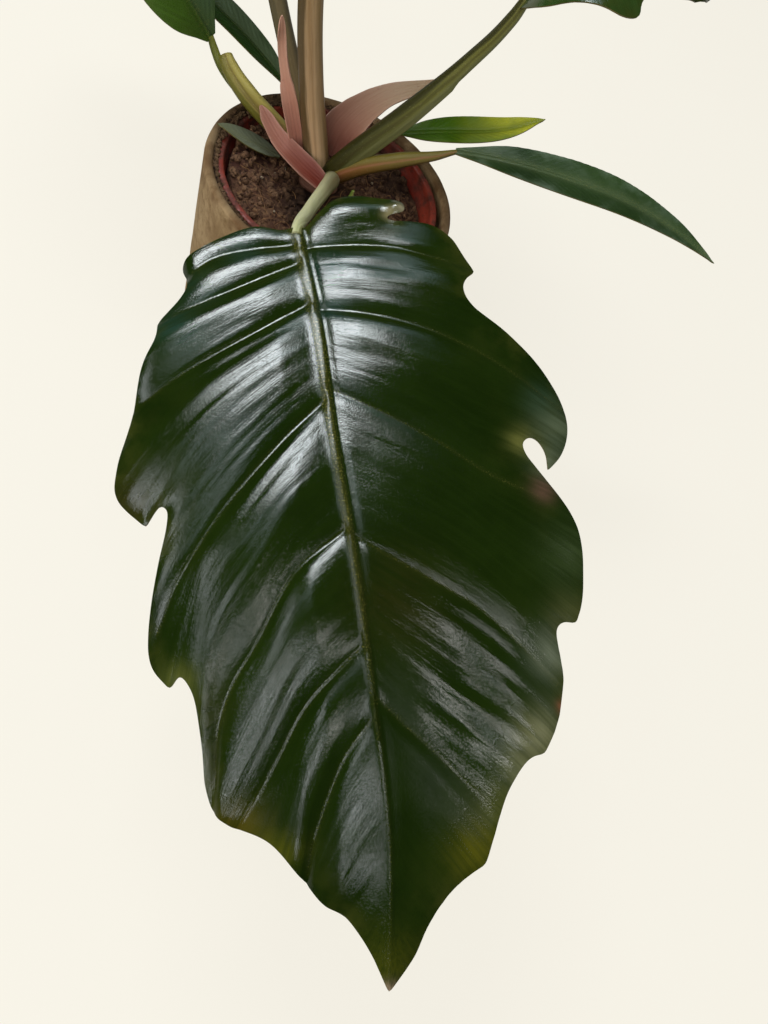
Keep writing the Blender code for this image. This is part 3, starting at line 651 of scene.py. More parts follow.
def along_midrib(midrib, u):
    """Places and directions at distances along the midrib, going straight on past its ends."""
    line = whole_line(midrib, 4.0)
    steps = np.linalg.norm(np.diff(line, axis=0), axis=1)
    far = np.concatenate([[0], np.cumsum(steps)])
    heading = np.gradient(line, far, axis=0)
    heading /= np.linalg.norm(heading, axis=1)[:, None]
    held = np.clip(u, 0, far[-1])
    place = np.stack([np.interp(held, far, line[:, k]) for k in range(3)], -1)
    ahead = np.stack([np.interp(held, far, heading[:, k]) for k in range(3)], -1)
    return place + ahead * (u - held)[:, None], ahead


def stalk_line(name):
    """A stalk's points, running on into the base of its blade."""
    points = list(STALKS[name])
    if name == "stalk_left":
        return points
    place, ahead = along_midrib(BLADES["leaf" + name[len("stalk"):]]["midrib"], np.array([0.0]))
    return [*points, (tuple(place[0] + ahead[0]), points[-1][1] * 0.8)]


def rod_path(points, steps):
    """Places and radii on the smooth line through a stalk's points."""
    deselect()
    bpy.ops.curve.primitive_bezier_curve_add()
    line = bpy.context.object
    line.data.dimensions = "3D"
    spline = line.data.splines[0]
    spline.bezier_points.add(len(points) - 2)
    for knot, (spot, radius) in zip(spline.bezier_points, points):
        knot.co = spot
        knot.radius = radius
        knot.handle_left_type = knot.handle_right_type = "AUTO"
    bpy.context.view_layer.update()
    knots = list(spline.bezier_points)
    found, radii = [], []
    for a, b in zip(knots, knots[1:]):
        part = interpolate_bezier(a.co, a.handle_right, b.handle_left, b.co, steps + 1)
        last = b is knots[-1]
        found += part if last else part[:-1]
        radii += np.linspace(a.radius, b.radius, steps + 1)[:None if last else -1].tolist()
    found = np.array(found)
    bpy.data.objects.remove(line)
    return found, np.array(radii)


def note(obj, name, values):
    """Keeps three numbers for each point of a mesh, for its finish to read."""
    layer = obj.data.attributes.new(name, "FLOAT_VECTOR", "POINT")
    layer.data.foreach_set("vector", values.astype(np.float32).ravel())


def rod(name, points, section, face, sides=40, steps=14):
    """A rod swept along a stalk's line from an upright cylinder. section gives the radius for each
    angle from the face direction and each share of the length."""
    path, radii = rod_path(points, steps)
    rows = len(path)
    deselect()
    bpy.ops.mesh.primitive_cylinder_add(vertices=sides, radius=MM, depth=MM, end_fill_type="TRIFAN")
    made = bpy.context.object
    made.name = name
    bpy.ops.object.mode_set(mode="EDIT")
    bpy.ops.mesh.select_mode(type="EDGE")
    shape = bmesh.from_edit_mesh(made.data)
    for edge in shape.edges:
        edge.select = abs(edge.verts[0].co.z - edge.verts[1].co.z) > 0.5 * MM
    bmesh.update_edit_mesh(made.data)
    bpy.ops.mesh.subdivide(number_cuts=rows - 2)
    bpy.ops.object.mode_set(mode="OBJECT")
    upright = points_of(made)
    row = np.rint((upright[:, 2] + 0.5) * (rows - 1)).astype(int)
    angle = np.arctan2(upright[:, 1], upright[:, 0])
    centre = np.hypot(upright[:, 0], upright[:, 1]) < 0.5
    ahead = np.gradient(path, axis=0)
    ahead /= np.linalg.norm(ahead, axis=1)[:, None]
    across = np.array(face, float) - (ahead @ np.array(face, float))[:, None] * ahead
    across /= np.linalg.norm(across, axis=1)[:, None]
    third = np.cross(ahead, across)
    steps_far = np.linalg.norm(np.diff(path, axis=0), axis=1)
    far = np.concatenate([[0], np.cumsum(steps_far)])[row]
    share = far / far.max()
    radius = radii[row] * section(angle, share) * np.where(centre, 0, 1)
    placed = (path[row] + across[row] * (radius * np.cos(angle))[:, None]
              + third[row] * (radius * np.sin(angle))[:, None])
    move_points(made, placed)
    note(made, "grain", np.stack([radii[row] * np.cos(angle), radii[row] * np.sin(angle), far], -1))
    note(made, "share", np.stack([share, np.cos(angle), np.sin(angle)], -1))
    shade(made, 70)
    return made


def streaks_group():
    """Lengthways streaks: noise that is drawn out along the grain, in two widths."""
    inputs = (("Grain", None), ("Width", 1.0), ("Stretch", 20.0), ("Seed", 0.0))
    tree, ends, out = new_group("streaks", inputs, ("Mask", "Fine"))
    narrow = reckon(tree, "DIVIDE", 1.0, ends.outputs["Width"])
    long = reckon(tree, "DIVIDE", narrow, ends.outputs["Stretch"])
    size = put(tree, "ShaderNodeCombineXYZ", {0: narrow, 1: narrow, 2: long})
    drawn = put(tree, "ShaderNodeVectorMath", {0: ends.outputs["Grain"], 1: size.outputs[0]},
                operation="MULTIPLY")
    for output, scale in (("Mask", 1.0), ("Fine", 3.1)):
        made = put(tree, "ShaderNodeTexNoise", {"Vector": drawn.outputs[0], "W": ends.outputs["Seed"],
                                                "Scale": scale, "Detail": 3.0, "Roughness": 0.55},
                   noise_dimensions="4D")
        tree.links.new(made.outputs["Fac"], out.inputs[output])
    return tree


STREAKS = streaks_group()


def streaks(tree, grain, width, stretch=20.0, seed=0.0):
    """The streaks effect, placed in a finish: wide and fine streaks."""
    inputs = {"Grain": grain, "Width": width, "Stretch": stretch, "Seed": seed}
    made = put(tree, "ShaderNodeGroup", inputs, node_tree=STREAKS)
    return made.outputs["Mask"], made.outputs["Fine"]


def kept(tree, name):
    """Reads in a finish what note() keeps on a mesh."""
    return put(tree, "ShaderNodeAttribute", attribute_name=name).outputs["Vector"]


def stalk_finish(name, foot, tip, back, front, crease, roughness=0.40, seed=0.0):
    """A stalk's skin. Its colour changes from its foot to its blade and along the crease of its face,
    its two sides carry painted shade and painted sheen, and it has fine lengthways streaks and small
    pale pores."""
    made, tree, shader, place = new_finish(name, roughness)
    grain = kept(tree, "grain")
    share, face, side = parts(tree, kept(tree, "share"))
    wide, fine = streaks(tree, grain, 2.6, 18, seed)
    sway = plus(tree, side, reckon(tree, "SUBTRACT", wide, 0.5))
    colour = blend(tree, ramp(tree, share, 0.0, 0.75), foot, tip)
    # Painted light: as the rod turns from the viewer, one side takes a darker colour for shade and the
    # other a lighter one for sheen
    colour = blend(tree, ramp(tree, sway, -0.12, -0.6, 0.0, 0.9), colour, back)
    colour = blend(tree, ramp(tree, sway, 0.1, 0.9, 0.0, 0.85), colour, front)
    off_face = ramp(tree, face, -0.2, 0.2, 1.0, 0.0)
    off_crease = plus(tree, reckon(tree, "ABSOLUTE", sway), off_face)
    colour = blend(tree, ramp(tree, off_crease, 0.28, 0.02, 0.0, 0.5), colour, crease)
    colour = blend(tree, ramp(tree, fine, 0.5, 0.78, 0.0, 0.22), colour, paint(66, 54, 26))
    dots = clouds(tree, place, 0.8, 0.6, 0.72, 4.0)
    coat(tree, shader, blend(tree, times(tree, dots, 0.25), colour, paint(206, 192, 146)))
    gloss = ramp(tree, wide, 0.3, 0.7, roughness - 0.06, roughness + 0.1)
    tree.links.new(gloss, shader.inputs["Roughness"])
    relief(tree, shader, plus(tree, wide, times(tree, fine, 0.7)), 0.22)
    shader.inputs["Subsurface Weight"].default_value = 0.10
    shader.inputs["Subsurface Radius"].default_value = (0.004, 0.003, 0.001)
    return made


def ribbed(channel=0.0, wing=0.0, until=1.0, ribs=0.007, flap=0.0):
    """The section of a stalk: fine ribs, a channel on its inner face with wings beside it up to a share
    of its length, and a flap of its sheath along its lower side that ends there too."""
    def section(angle, share):
        """The radius there, as a share of the stalk's own radius."""
        open_part = 1 - np.clip((share - until) / 0.03, 0, 1)
        radius = 1 + ribs * np.sin(11 * angle + 1.3 * np.sin(9 * share))
        radius += 0.4 * ribs * np.sin(23 * angle)
        radius -= channel * np.exp(-(angle / 0.45) ** 2) * open_part
        radius += wing * np.exp(-((np.abs(angle) - 0.85) / 0.22) ** 2) * open_part
        radius += flap * np.exp(-((angle - 1.5) / 0.3) ** 2) * open_part
        return radius
    return section


def scarred(angle, share):
    """The stem's section: ring scars where old leaves were."""
    return 1 + 0.07 * np.sin(34 * share + np.sin(angle)) + 0.05 * np.sin(5 * angle + 8 * share)


bark = stalk_finish("stem_skin", paint(120, 84, 66), paint(128, 92, 66), paint(96, 64, 52),
                    paint(124, 92, 70), paint(100, 60, 50), 0.7)
stem = rod("stem_knot", STEM, scarred, (1, 0, 0), 36, 10)
settle(stem, "stem", "stalk", bark)

# Each stalk: its colour at the foot and at the blade, on its left or upper side and on its right or
# lower side (mostly painted shade on the first and painted sheen on the second), along its crease,
# and its section. The inner face of each looks to where the viewer is.
TO_VIEWER = (0.35, -0.75, 0.56)
STALK_LOOKS = {
    "stalk_rear": (paint(204, 170, 132), paint(128, 104, 58), paint(66, 50, 16), paint(124, 100, 58),
                   paint(124, 92, 50), ribbed(0.03, 0.02)),
    "stalk_right": (paint(44, 42, 8), paint(112, 112, 50), paint(40, 40, 6), paint(120, 122, 76),
                    paint(50, 44, 14), ribbed(0.10, 0.03, 0.62, flap=0.28)),
    "stalk_front": (paint(132, 116, 82), paint(166, 168, 124), paint(108, 110, 66), paint(180, 180, 140),
                    paint(132, 134, 92), ribbed(0.10, 0.04)),
    "stalk_rear_left": (paint(120, 104, 72), paint(108, 100, 72), paint(84, 76, 50), paint(92, 84, 60),
                        paint(104, 92, 66), ribbed(0.06, 0.03)),
    "stalk_left": (paint(162, 126, 92), paint(134, 122, 46), paint(92, 90, 24), paint(180, 168, 88),
                   paint(84, 66, 26), ribbed(0.20, 0.08, 0.97)),
    "stalk_long": (paint(126, 72, 36), paint(112, 98, 40), paint(112, 102, 38), paint(76, 60, 20),
                   paint(150, 98, 72), ribbed(0.10, 0.05, 0.86)),
    "stalk_narrow": (paint(92, 96, 50), paint(84, 96, 44), paint(70, 78, 34), paint(110, 110, 66),
                     paint(70, 74, 36), ribbed(0.10, 0.04)),
    "stalk_bright": (paint(120, 132, 52), paint(104, 132, 36), paint(88, 108, 34), paint(140, 148, 74),
                     paint(96, 110, 40), ribbed(0.10, 0.04)),
}
for k, (name, (*colours, section)) in enumerate(STALK_LOOKS.items()):
    skin = stalk_finish(name + "_skin", *colours, seed=1.7 * k)
    settle(rod(name + "_rod", stalk_line(name), section, TO_VIEWER), name, "stalk", skin)

# The left stalk's sheath ends bluntly, and its slim green petiole goes on from the sheath's left side
PETIOLE = (((-69.7, 0.8, 134.2), 1.8), ((-76.8, 0.1, 138.5), 2.2), ((-82.9, -0.1, 143.1), 2.3),
           ((-88.1, 1.3, 147.3), 2.2), ((-92.5, 2, 152.5), 1.8))
skin = stalk_finish("petiole_skin", paint(112, 110, 30), paint(96, 102, 22), paint(74, 80, 14),
                    paint(130, 132, 50), paint(100, 100, 34), seed=9.0)
settle(rod("stalk_left_petiole", PETIOLE, ribbed(0.12, 0.05), TO_VIEWER, 24, 10), None, "stalk", skin)


# ---------------------------------------------------------------- leaf sheaths
# Three spent sheaths stay on the stem. Each is a pink, leathery pointed scale that wrapped a new leaf
# and has curled open, with fine lengthways veins and a thin dry edge.

# Each: its spine, its length and half width, its curl, its turn at foot and point, and how wide it is
# along its length
SHEATHS = {
    "sheath_short": (((-4, -4, 120), (-20, -6, 125), (-37, -5, 129.5), (-52, -2, 137)),
                     53, 6.2, 0.050, (22, 22),
                     ((0.0, 0.75), (0.2, 1.0), (0.5, 0.9), (0.75, 0.68), (0.9, 0.5), (1, 0.12))),
    "sheath_wide": (((-14, 17.6, 122), (-10.7, 21, 143.5), (2.3, 32, 164.6), (23.5, 49.3, 178.2)),
                    86, 14.0, 0.016, (-75, 4),
                    ((0.0, 0.78), (0.12, 0.86), (0.25, 0.76), (0.4, 0.6), (0.6, 0.42), (0.8, 0.3),
                     (0.92, 0.24), (1, 0.1))),
    "sheath_tall": (((-25.5, 5.4, 115), (-36.6, -2.5, 152), (-47.6, -0.9, 173.4), (-50.8, -1.9, 188)),
                    80.5, 3.7, 0.06, (75, 70),
                    ((0.0, 0.9), (0.28, 1.05), (0.5, 1.1), (0.58, 1.02), (0.64, 0.76), (0.84, 0.62),
                     (0.93, 0.46), (0.98, 0.26), (1, 0.1))),
}
SHEATH_THICKNESS = 0.8


def bend(shape, flat, raised):
    """Bends flat points (along, across), raised from their sheet, to where the blade lies, in mm."""
    u, v = flat.T
    place, ahead = along_midrib(shape["midrib"], u)
    level = np.cross(ahead, [0, 0, 1.0])
    level /= np.linalg.norm(level, axis=1)[:, None]
    up = np.cross(level, ahead)
    tilt = np.radians(np.interp(u, (0, u.max()), shape["tilt"]))[:, None]
    side = level * np.cos(tilt) + up * np.sin(tilt)
    normal = np.cross(side, ahead)
    widest = np.abs(v).max() + 1e-6
    height = shape["rise"] * np.abs(v) - shape["droop"] * v ** 2
    phase = shape["phase"] + np.where(v > 0, 0, 1.7)
    height += (shape["wave"] * (np.abs(v) / widest) ** 2
               * np.sin(math.tau * (u - 0.6 * np.abs(v)) / shape["wavelength"] + phase))
    return place + side * v[:, None] + normal * (height + raised)[:, None]


def strip(name, length, half_width, profile, rows, columns):
    """A flat pointed strip from a grid: its object and its points (along, across)."""
    deselect()
    bpy.ops.mesh.primitive_grid_add(x_subdivisions=rows, y_subdivisions=columns, size=2 * MM)
    made = bpy.context.object
    made.name = name
    square = points_of(made)
    line = whole_line(profile, 0.02)
    share = (square[:, 0] + 1) / 2
    width = np.interp(share, line[:, 0], line[:, 1]) * half_width
    return made, np.stack([share * length, square[:, 1] * width], -1)


def thicken(obj, thick, rib=None, weights=None):
    """Gives a sheet its thickness below its upper face, more under its midrib, with finishes of their
    own on its underside and edge."""
    made = obj.modifiers.new("thickness", "SOLIDIFY")
    made.offset = -1
    made.material_offset = 1
    made.material_offset_rim = 2
    made.thickness = thick * MM
    if rib:
        group = obj.vertex_groups.new(name="rib")
        for i, weight in enumerate(weights):
            group.add([i], float(weight), "REPLACE")
        made.thickness = rib * MM
        made.vertex_group = "rib"
        made.thickness_vertex_group = thick / rib
    pick(obj)
    bpy.ops.object.modifier_apply(modifier=made.name)


def sheath_finish(name, low, high, streak):
    """A sheath's skin: its colour changes from its foot to its point, and it has lengthways veins, small
    brown spots and a pale dry edge."""
    made, tree, shader, place = new_finish(name, 0.5)
    grain = kept(tree, "grain")
    near_edge, share = parts(tree, kept(tree, "marks"))[1:]
    wide, fine = streaks(tree, grain, 1.5, 26)
    colour = blend(tree, ramp(tree, share, 0.05, 0.85), low, high)
    colour = blend(tree, ramp(tree, wide, 0.36, 0.74, 0.0, 0.2), colour, streak)
    colour = blend(tree, ramp(tree, fine, 0.5, 0.8, 0.0, 0.12), colour, paint(226, 196, 180))
    colour = blend(tree, times(tree, near_edge, 0.3), colour, paint(206, 168, 150))
    spots = clouds(tree, place, 2.4, 0.6, 0.72, 3.0)
    coat(tree, shader, blend(tree, times(tree, spots, 0.35), colour, paint(122, 70, 52)))
    relief(tree, shader, plus(tree, wide, fine), 0.12)
    shader.inputs["Subsurface Weight"].default_value = 0.12
    shader.inputs["Subsurface Radius"].default_value = (0.005, 0.002, 0.0015)
    return made


SHEATH_LOOKS = {
    "sheath_short": (paint(116, 44, 30), paint(150, 98, 80), paint(96, 34, 26)),
    "sheath_wide": (paint(138, 86, 72), paint(160, 138, 110), paint(116, 66, 56)),
    "sheath_tall": (paint(190, 126, 108), paint(176, 130, 108), paint(150, 92, 78)),
}
for name, (spine, length, half_width, curl, turn, profile) in SHEATHS.items():
    made, flat = strip(name + "_scale", length, half_width, profile, 110, 31)
    shape = dict(midrib=spine, tilt=turn, rise=0.0, droop=-curl, wave=0.0, wavelength=60, phase=0.0)
    u, v = flat.T
    lines = 0.05 * np.cos(v * 3.4) + 0.25 * rough(np.c_[flat * (0.12, 0.5), u * 0], 3.0, 2)
    move_points(made, bend(shape, flat, 0.4 + lines))
    outline = half_width * np.interp(u / length, *zip(*profile))
    near_edge = np.exp(-(outline - np.abs(v)) / 0.7)
    note(made, "grain", np.stack([v, v * 0, u], -1))
    note(made, "marks", np.stack([u * 0, near_edge, u / length], -1))
    made.data.flip_normals()
    finish = sheath_finish(name + "_skin", *SHEATH_LOOKS[name])
    settle(made, name, "sheath", finish, finish, finish)
    thicken(made, SHEATH_THICKNESS)
    shade(made, 60)


# ---------------------------------------------------------------- leaf blades
# The blades are thick, leathery and glossy. Side veins are sunk in the upper face and the blade swells
# between them; the midrib stands up on both faces. Margins are lobed, with olive and reddish tints.
FRONT_LENGTH = 281
FRONT_LEFT = (
    ((-3, 2), (-2.6, 6), (-5, 16), (-2, 29), (4, 43), (9, 50)),
    ((9, 50), (14, 47.5), (19, 47), (25, 51), (33, 59.5), (35, 60.5)),
    ((35, 60.5), (43, 62), (57, 68), (79, 73), (96, 78.5), (107, 79), (119, 70)),
    ((119, 70), (115, 67), (112, 64), (114, 62), (121, 63), (135, 67), (158, 72), (170, 72),
     (179, 66)),
    ((179, 66), (175, 62.5), (178, 60), (184, 58), (198, 57), (210, 57), (220, 55), (226, 50)),
    ((226, 50), (233, 38), (246, 28)),
    ((246, 28), (254, 21), (258, 14), (269, 6), (281, 0)),
)
FRONT_RIGHT = (
    ((-3, 2), (-3, 5), (-8, 11), (-14, 20), (-14.5, 28), (-12.5, 36), (-10.3, 44), (-7.5, 47.2),
     (-3.8, 47), (-2.2, 43.5)),
    ((-2.2, 43.5), (-2.6, 40), (-1.2, 38.5), (0.4, 42), (0.8, 49), (3, 58), (10, 65), (19, 68),
     (27, 71)),
    ((27, 71), (32, 65), (37, 62.5), (44, 65), (55, 78), (68, 89), (83, 95), (99, 94), (110, 89),
     (117, 81)),
    ((117, 81), (110, 82), (104, 80), (102, 77), (104, 73.5), (109, 73.5), (117, 77), (135, 85),
     (148, 86), (164, 82.5), (174, 77)),
    ((174, 77), (173, 72), (176, 68.5), (186, 68.5), (195, 68), (207, 63), (216, 56)),
    ((216, 56), (217, 50), (225, 42), (236, 36), (245, 32)),
    ((245, 32), (249, 25), (254, 19), (262, 13), (272, 8), (281, 0)),
)
# Side veins of the front leaf, from the midrib outwards, with the side (1 left, -1 right)
FRONT_VEINS = (
    (1, ((5, 0), (7, 31), (13, 44))),
    (1, ((14, 0), (25, 32), (32, 54))),
    (1, ((34, 0), (50, 32), (61, 52), (72, 68))),
    (1, ((78, 0), (99, 24), (120, 45), (142, 61), (159, 69))),
    (1, ((130, 0), (145, 21), (167, 36), (181, 46), (196, 52), (212, 54))),
    (1, ((172, 0), (189, 21), (205, 33), (216, 40))),
    (1, ((196, 0), (207, 11), (219, 18), (234, 24), (245, 26))),
    (-1, ((7, 0), (12, 33), (22, 60))),
    (-1, ((37, 0), (45, 27), (55, 51), (70, 75), (84, 90))),
    (-1, ((73, 0), (87, 22), (101, 39), (117, 56), (128, 74))),
    (-1, ((133, 0), (144, 14), (154, 28), (165, 42), (180, 55), (195, 66))),
    (-1, ((189, 0), (201, 10), (210, 18), (219, 26), (229, 36))),
)
# The other lobed blades: length, half width, and where the lobes end along the left and right edges
LOBED = {
    "leaf_rear": (250, 74, (0.13, 0.34, 0.55, 0.74, 0.88), (0.10, 0.30, 0.52, 0.70, 0.86)),
    "leaf_rear_left": (225, 66, (0.12, 0.36, 0.60, 0.80), (0.15, 0.40, 0.63, 0.84)),
    "leaf_right": (120, 36, (0.18, 0.60, 0.84), (0.24, 0.58, 0.84)),
}
RIGHT_LOBES = (
    ((-3, 2), (-2, 5), (3, 13), (12, 24), (21, 31)),
    ((21, 31), (28, 35), (36, 38), (42, 40), (47, 39.5)),
    ((47, 39.5), (51, 37), (52, 31), (57, 25), (68, 20), (80, 16)),
    ((80, 16), (84, 14), (94, 11), (108, 7), (120, 0)),
)
# The plain blades: the half width along their length, their length, and half width on each side
PLAIN_PROFILE = ((0.0, 0.16), (0.06, 0.36), (0.2, 0.8), (0.4, 1.0), (0.6, 0.92), (0.8, 0.58),
                 (0.93, 0.22), (1, 0))
PLAIN = {
    "leaf_left": (84, 22, 22),
    "leaf_long": (167, 16, 13.5),
    "leaf_narrow": (113, 13.5, 14.5),
    "leaf_bright": (84, 10.5, 9.5),
    "leaf_small": (42, 7.5, 7.5),
}


def lobe_reach(half_width, s):
    """How far a lobe reaches from the midrib at a share of the blade's length."""
    return half_width * math.sin(math.pi * s ** 0.8) ** 0.75


def lobed_side(length, half_width, lobes):
    """One side of a lobed blade as runs of points, each ending in a lobe tip."""
    first = (lobes[0] * length, lobe_reach(half_width, lobes[0]))
    runs = [[(-3, 2), (-2, 6), (-0.03 * length, 0.3 * half_width), (-0.01 * length, 0.55 * half_width),
             first]]
    for a, b in zip(lobes, lobes[1:] + (1.0,)):
        start = (a * length, lobe_reach(half_width, a))
        notch = (start[0] + 1, start[1] - 0.09 * half_width)
        middle = a + 0.45 * (b - a)
        swell = (middle * length, lobe_reach(half_width, middle))
        end = (b * length, lobe_reach(half_width, b) if b < 1 else 0)
        runs.append([start, notch, (notch[0] + 6, notch[1] + 1), swell, end])
    return runs


def sides_of(name):
    """The left and right edges of a lobed blade, and its side veins."""
    if name == "leaf_front":
        return FRONT_LEFT, FRONT_RIGHT, FRONT_VEINS
    length, half_width, left, right = LOBED[name]
    veins = []
    for turn, lobes in ((1, left), (-1, right)):
        for s in lobes:
            start = (s - 0.16) * length
            reach = lobe_reach(half_width, s)
            middle = (start + 0.07 * length, 0.45 * reach)
            veins.append((turn, ((start, 0), middle, (s * length - 6, 0.88 * reach))))
    near_side = RIGHT_LOBES if name == "leaf_right" else lobed_side(length, half_width, left)
    return near_side, lobed_side(length, half_width, right), veins


def inside(points, loop):
    """For each point, whether it is inside the closed loop."""
    found = np.zeros(len(points), bool)
    for a, b in zip(loop, np.roll(loop, -1, axis=0)):
        crosses = (a[1] > points[:, 1]) != (b[1] > points[:, 1])
        with np.errstate(divide="ignore", invalid="ignore"):
            along = (b[0] - a[0]) * (points[:, 1] - a[1]) / (b[1] - a[1]) + a[0]
        found ^= crosses & (points[:, 0] < along)
    return found


def distance(points, lines):
    """For each point, how far it is from the nearest of the lines."""
    nearest = np.full(len(points), 1e9)
    for line in lines:
        for a, b in zip(line, line[1:]):
            along = np.clip((points - a) @ (b - a) / max((b - a) @ (b - a), 1e-9), 0, 1)
            gap = np.hypot(*(points - a - along[:, None] * (b - a)).T)
            nearest = np.minimum(nearest, gap)
    return nearest


def beside(line, gap):
    """The line moved sideways by a gap, either way."""
    ahead = np.gradient(line, axis=0)
    ahead /= np.linalg.norm(ahead, axis=1)[:, None]
    return line + np.c_[-ahead[:, 1], ahead[:, 0]] * gap


LOOSE_CLEAR = 0.495


def filled(left, right, veins, spacing):
    """A lobed outline filled with even triangles that follow its midrib and side veins."""
    loop = []
    for run in left:
        loop += smooth_line(run, spacing)
    back = [np.array(right[-1][-1], float)]
    for run in reversed(right):
        back += reversed(smooth_line(run, spacing))
    loop += [p * (1, -1) for p in back]
    loop = np.array(loop)
    for _ in range(round(2.4 / spacing)):
        loop = 0.25 * np.roll(loop, 1, axis=0) + 0.5 * loop + 0.25 * np.roll(loop, -1, axis=0)
    length = loop[:, 0].max()
    ring = np.vstack([loop, loop[:1]])

    # Points fixed on the midrib and the veins, loose points beside them, and an even grid elsewhere
    midrib = np.array([(u, 0.0) for u in np.arange(-1.0, length - 1, spacing)])
    lines = [midrib]
    for turn, points in veins:
        lines.append(whole_line(points, spacing)[1:] * (1, turn))
    rib_gaps, vein_gaps = (-3.2, -2.4, -1.6, -0.8, 0.8, 1.6, 2.4, 3.2), (-1.9, -0.9, 0.9, 1.9)
    loose = [beside(midrib, gap) for gap in rib_gaps]
    loose += [beside(line, gap) for line in lines[1:] for gap in vein_gaps]
    row = spacing * math.sqrt(3) / 2
    grid = np.array([(u + (k % 2) * spacing / 2, v)
                     for k, v in enumerate(np.arange(loop[:, 1].min(), loop[:, 1].max(), row))
                     for u in np.arange(loop[:, 0].min(), length, spacing)])
    chosen = np.zeros((0, 2))
    for extra, clear in ((np.vstack(loose), LOOSE_CLEAR), (grid, 0.62 * spacing)):
        extra = extra[inside(extra, loop)]
        extra = extra[distance(extra, [*lines, ring]) > clear]
        if len(chosen):
            extra = extra[distance(extra, loose) > clear]
        chosen = np.vstack([chosen, extra])
    points = [Vector(p) for p in loop]
    edges = []
    for line in lines:
        first = len(points)
        points += [Vector(p) for p in line]
        edges += [(first + i, first + i + 1) for i in range(len(line) - 1)]
    points += [Vector(p) for p in chosen]
    made = delaunay_2d_cdt(points, edges, [list(range(len(loop)))], 1, 1e-4)
    flat = np.array([tuple(p) for p in made[0]])
    faces = [tuple(reversed(f)) for f in made[2]]
    return flat, faces, lines, ring


def flow(flat, veins, length):
    """For each point of a blade: where on the midrib the fine vein through it starts, its share of the
    way from one side vein to the next, and how far apart those two are."""
    start = flat[:, 0].copy()
    share = np.full(len(flat), 0.5)
    span = np.full(len(flat), 20.0)
    for turn in (1, -1):
        here = flat[:, 1] >= 0 if turn == 1 else flat[:, 1] < 0
        u, v = flat[here, 0], np.abs(flat[here, 1])
        curves = [((-16, 0), (-24, 40), (-34, 90)), *[p for side, p in veins if side == turn],
                  ((length - 14, 0), (length + 30, 30))]
        froms, reach = [], []
        for points in curves:
            line = whole_line(points, 3.0)
            lean = (line[-1, 0] - line[-3, 0]) / (line[-1, 1] - line[-3, 1])
            froms.append(points[0][0])
            reach.append(np.interp(v, line[:, 1], line[:, 0]) + np.maximum(v - line[-1, 1], 0) * lean)
        reach = np.maximum.accumulate(np.array(reach), axis=0)
        mine, part, gap = start[here], share[here], span[here]
        for k in range(len(curves) - 1):
            between = (u >= reach[k]) & (u < reach[k + 1])
            way = ((u - reach[k]) / (reach[k + 1] - reach[k] + 1e-6))[between]
            part[between] = way
            mine[between] = froms[k] + way * (froms[k + 1] - froms[k])
            gap[between] = (reach[k + 1] - reach[k])[between]
        start[here], share[here], span[here] = mine, part, gap
    return start, share, span


def ripples(x, y, seed):
    """Smooth random numbers from -1 to 1 on a plane, one unit across."""
    table = np.random.default_rng(seed).uniform(-1, 1, (256, 256))
    across, up = np.floor(x).astype(int), np.floor(y).astype(int)
    s, t = x - across, y - up
    s, t = s * s * (3 - 2 * s), t * t * (3 - 2 * t)
    near, far, below, above = across % 256, (across + 1) % 256, up % 256, (up + 1) % 256
    low = table[near, below] * (1 - s) + table[far, below] * s
    high = table[near, above] * (1 - s) + table[far, above] * s
    return low * (1 - t) + high * t


def eased(value, start, end):
    """Goes softly from 0 at start to 1 at end."""
    share = np.clip((value - start) / (end - start), 0, 1)
    return share * share * (3 - 2 * share)


def beside_vein(flat, veins):
    """For each point: its gap to the nearest side vein, whether it lies on that vein's tip side, and
    how far out along the vein."""
    gap = np.full(len(flat), 1e3)
    tipward = np.zeros(len(flat), bool)
    out = np.zeros(len(flat))
    for turn, points in veins:
        line = whole_line(points, 2.0) * (1, turn)
        far = np.concatenate([[0], np.cumsum(np.linalg.norm(np.diff(line, axis=0), axis=1))])
        for i, (a, b) in enumerate(zip(line, line[1:])):
            step = b - a
            along = np.clip((flat - a) @ step / (step @ step), 0, 1)
            off = flat - a - along[:, None] * step
            here = (np.hypot(*off.T) < gap) & (np.sign(flat[:, 1]) == turn)
            gap[here] = np.hypot(*off[here].T)
            tipward[here] = (off[here] @ (step[1] * turn, -step[0] * turn)) > 0
            out[here] = (far[i] + along[here] * (far[i + 1] - far[i])) / far[-1]
    return gap, tipward, out


# Where the front leaf swells or dips: place, heading, half length, half width, and height
FRONT_FOLDS = (
    ((118, 20), (18, 22), 26, 7, 0.8), ((186, -43), (28, -21), 16, 3.6, 0.5),
    ((197, -33), (24, -20), 16, 3.2, 0.5), ((206, -25), (20, -17), 12, 2.8, 0.4),
    ((24, -36), (6, -40), 14, 5, -0.9), ((14, -50), (4, -20), 12, 4, 0.7),
    ((-8, -22), (0, -1), 14, 7, 1.2), ((-5, -44), (1, 0.5), 4.5, 4, 2.4),
)
# The front leaf's first left lobe rolls under at its tip: where the roll starts, its heading, its
# radius, and the run along the leaf over which it fades
FRONT_ROLL = ((8, 43), (0.1, 0.99), 5, 13, 20)


def rolled_under(flat, raised, roll):
    """Rolls a lobe's tip down round a cylinder."""
    start, heading, radius, fade_from, fade_to = roll
    beyond = np.clip((flat - start) @ heading, 0, 99) * (1 - eased(flat[:, 0], fade_from, fade_to))
    turn = beyond / radius
    lain = flat - (beyond - radius * np.sin(turn))[:, None] * heading
    return lain, raised - radius * (1 - np.cos(turn))


def rib_width(flat, length):
    """The midrib's half width, in a leaf of this length."""
    half = np.interp(flat[:, 0] / length, (0, 0.25, 0.7, 1), (2.9, 2.3, 1.1, 0.4))
    return half * (length / FRONT_LENGTH) ** 0.5


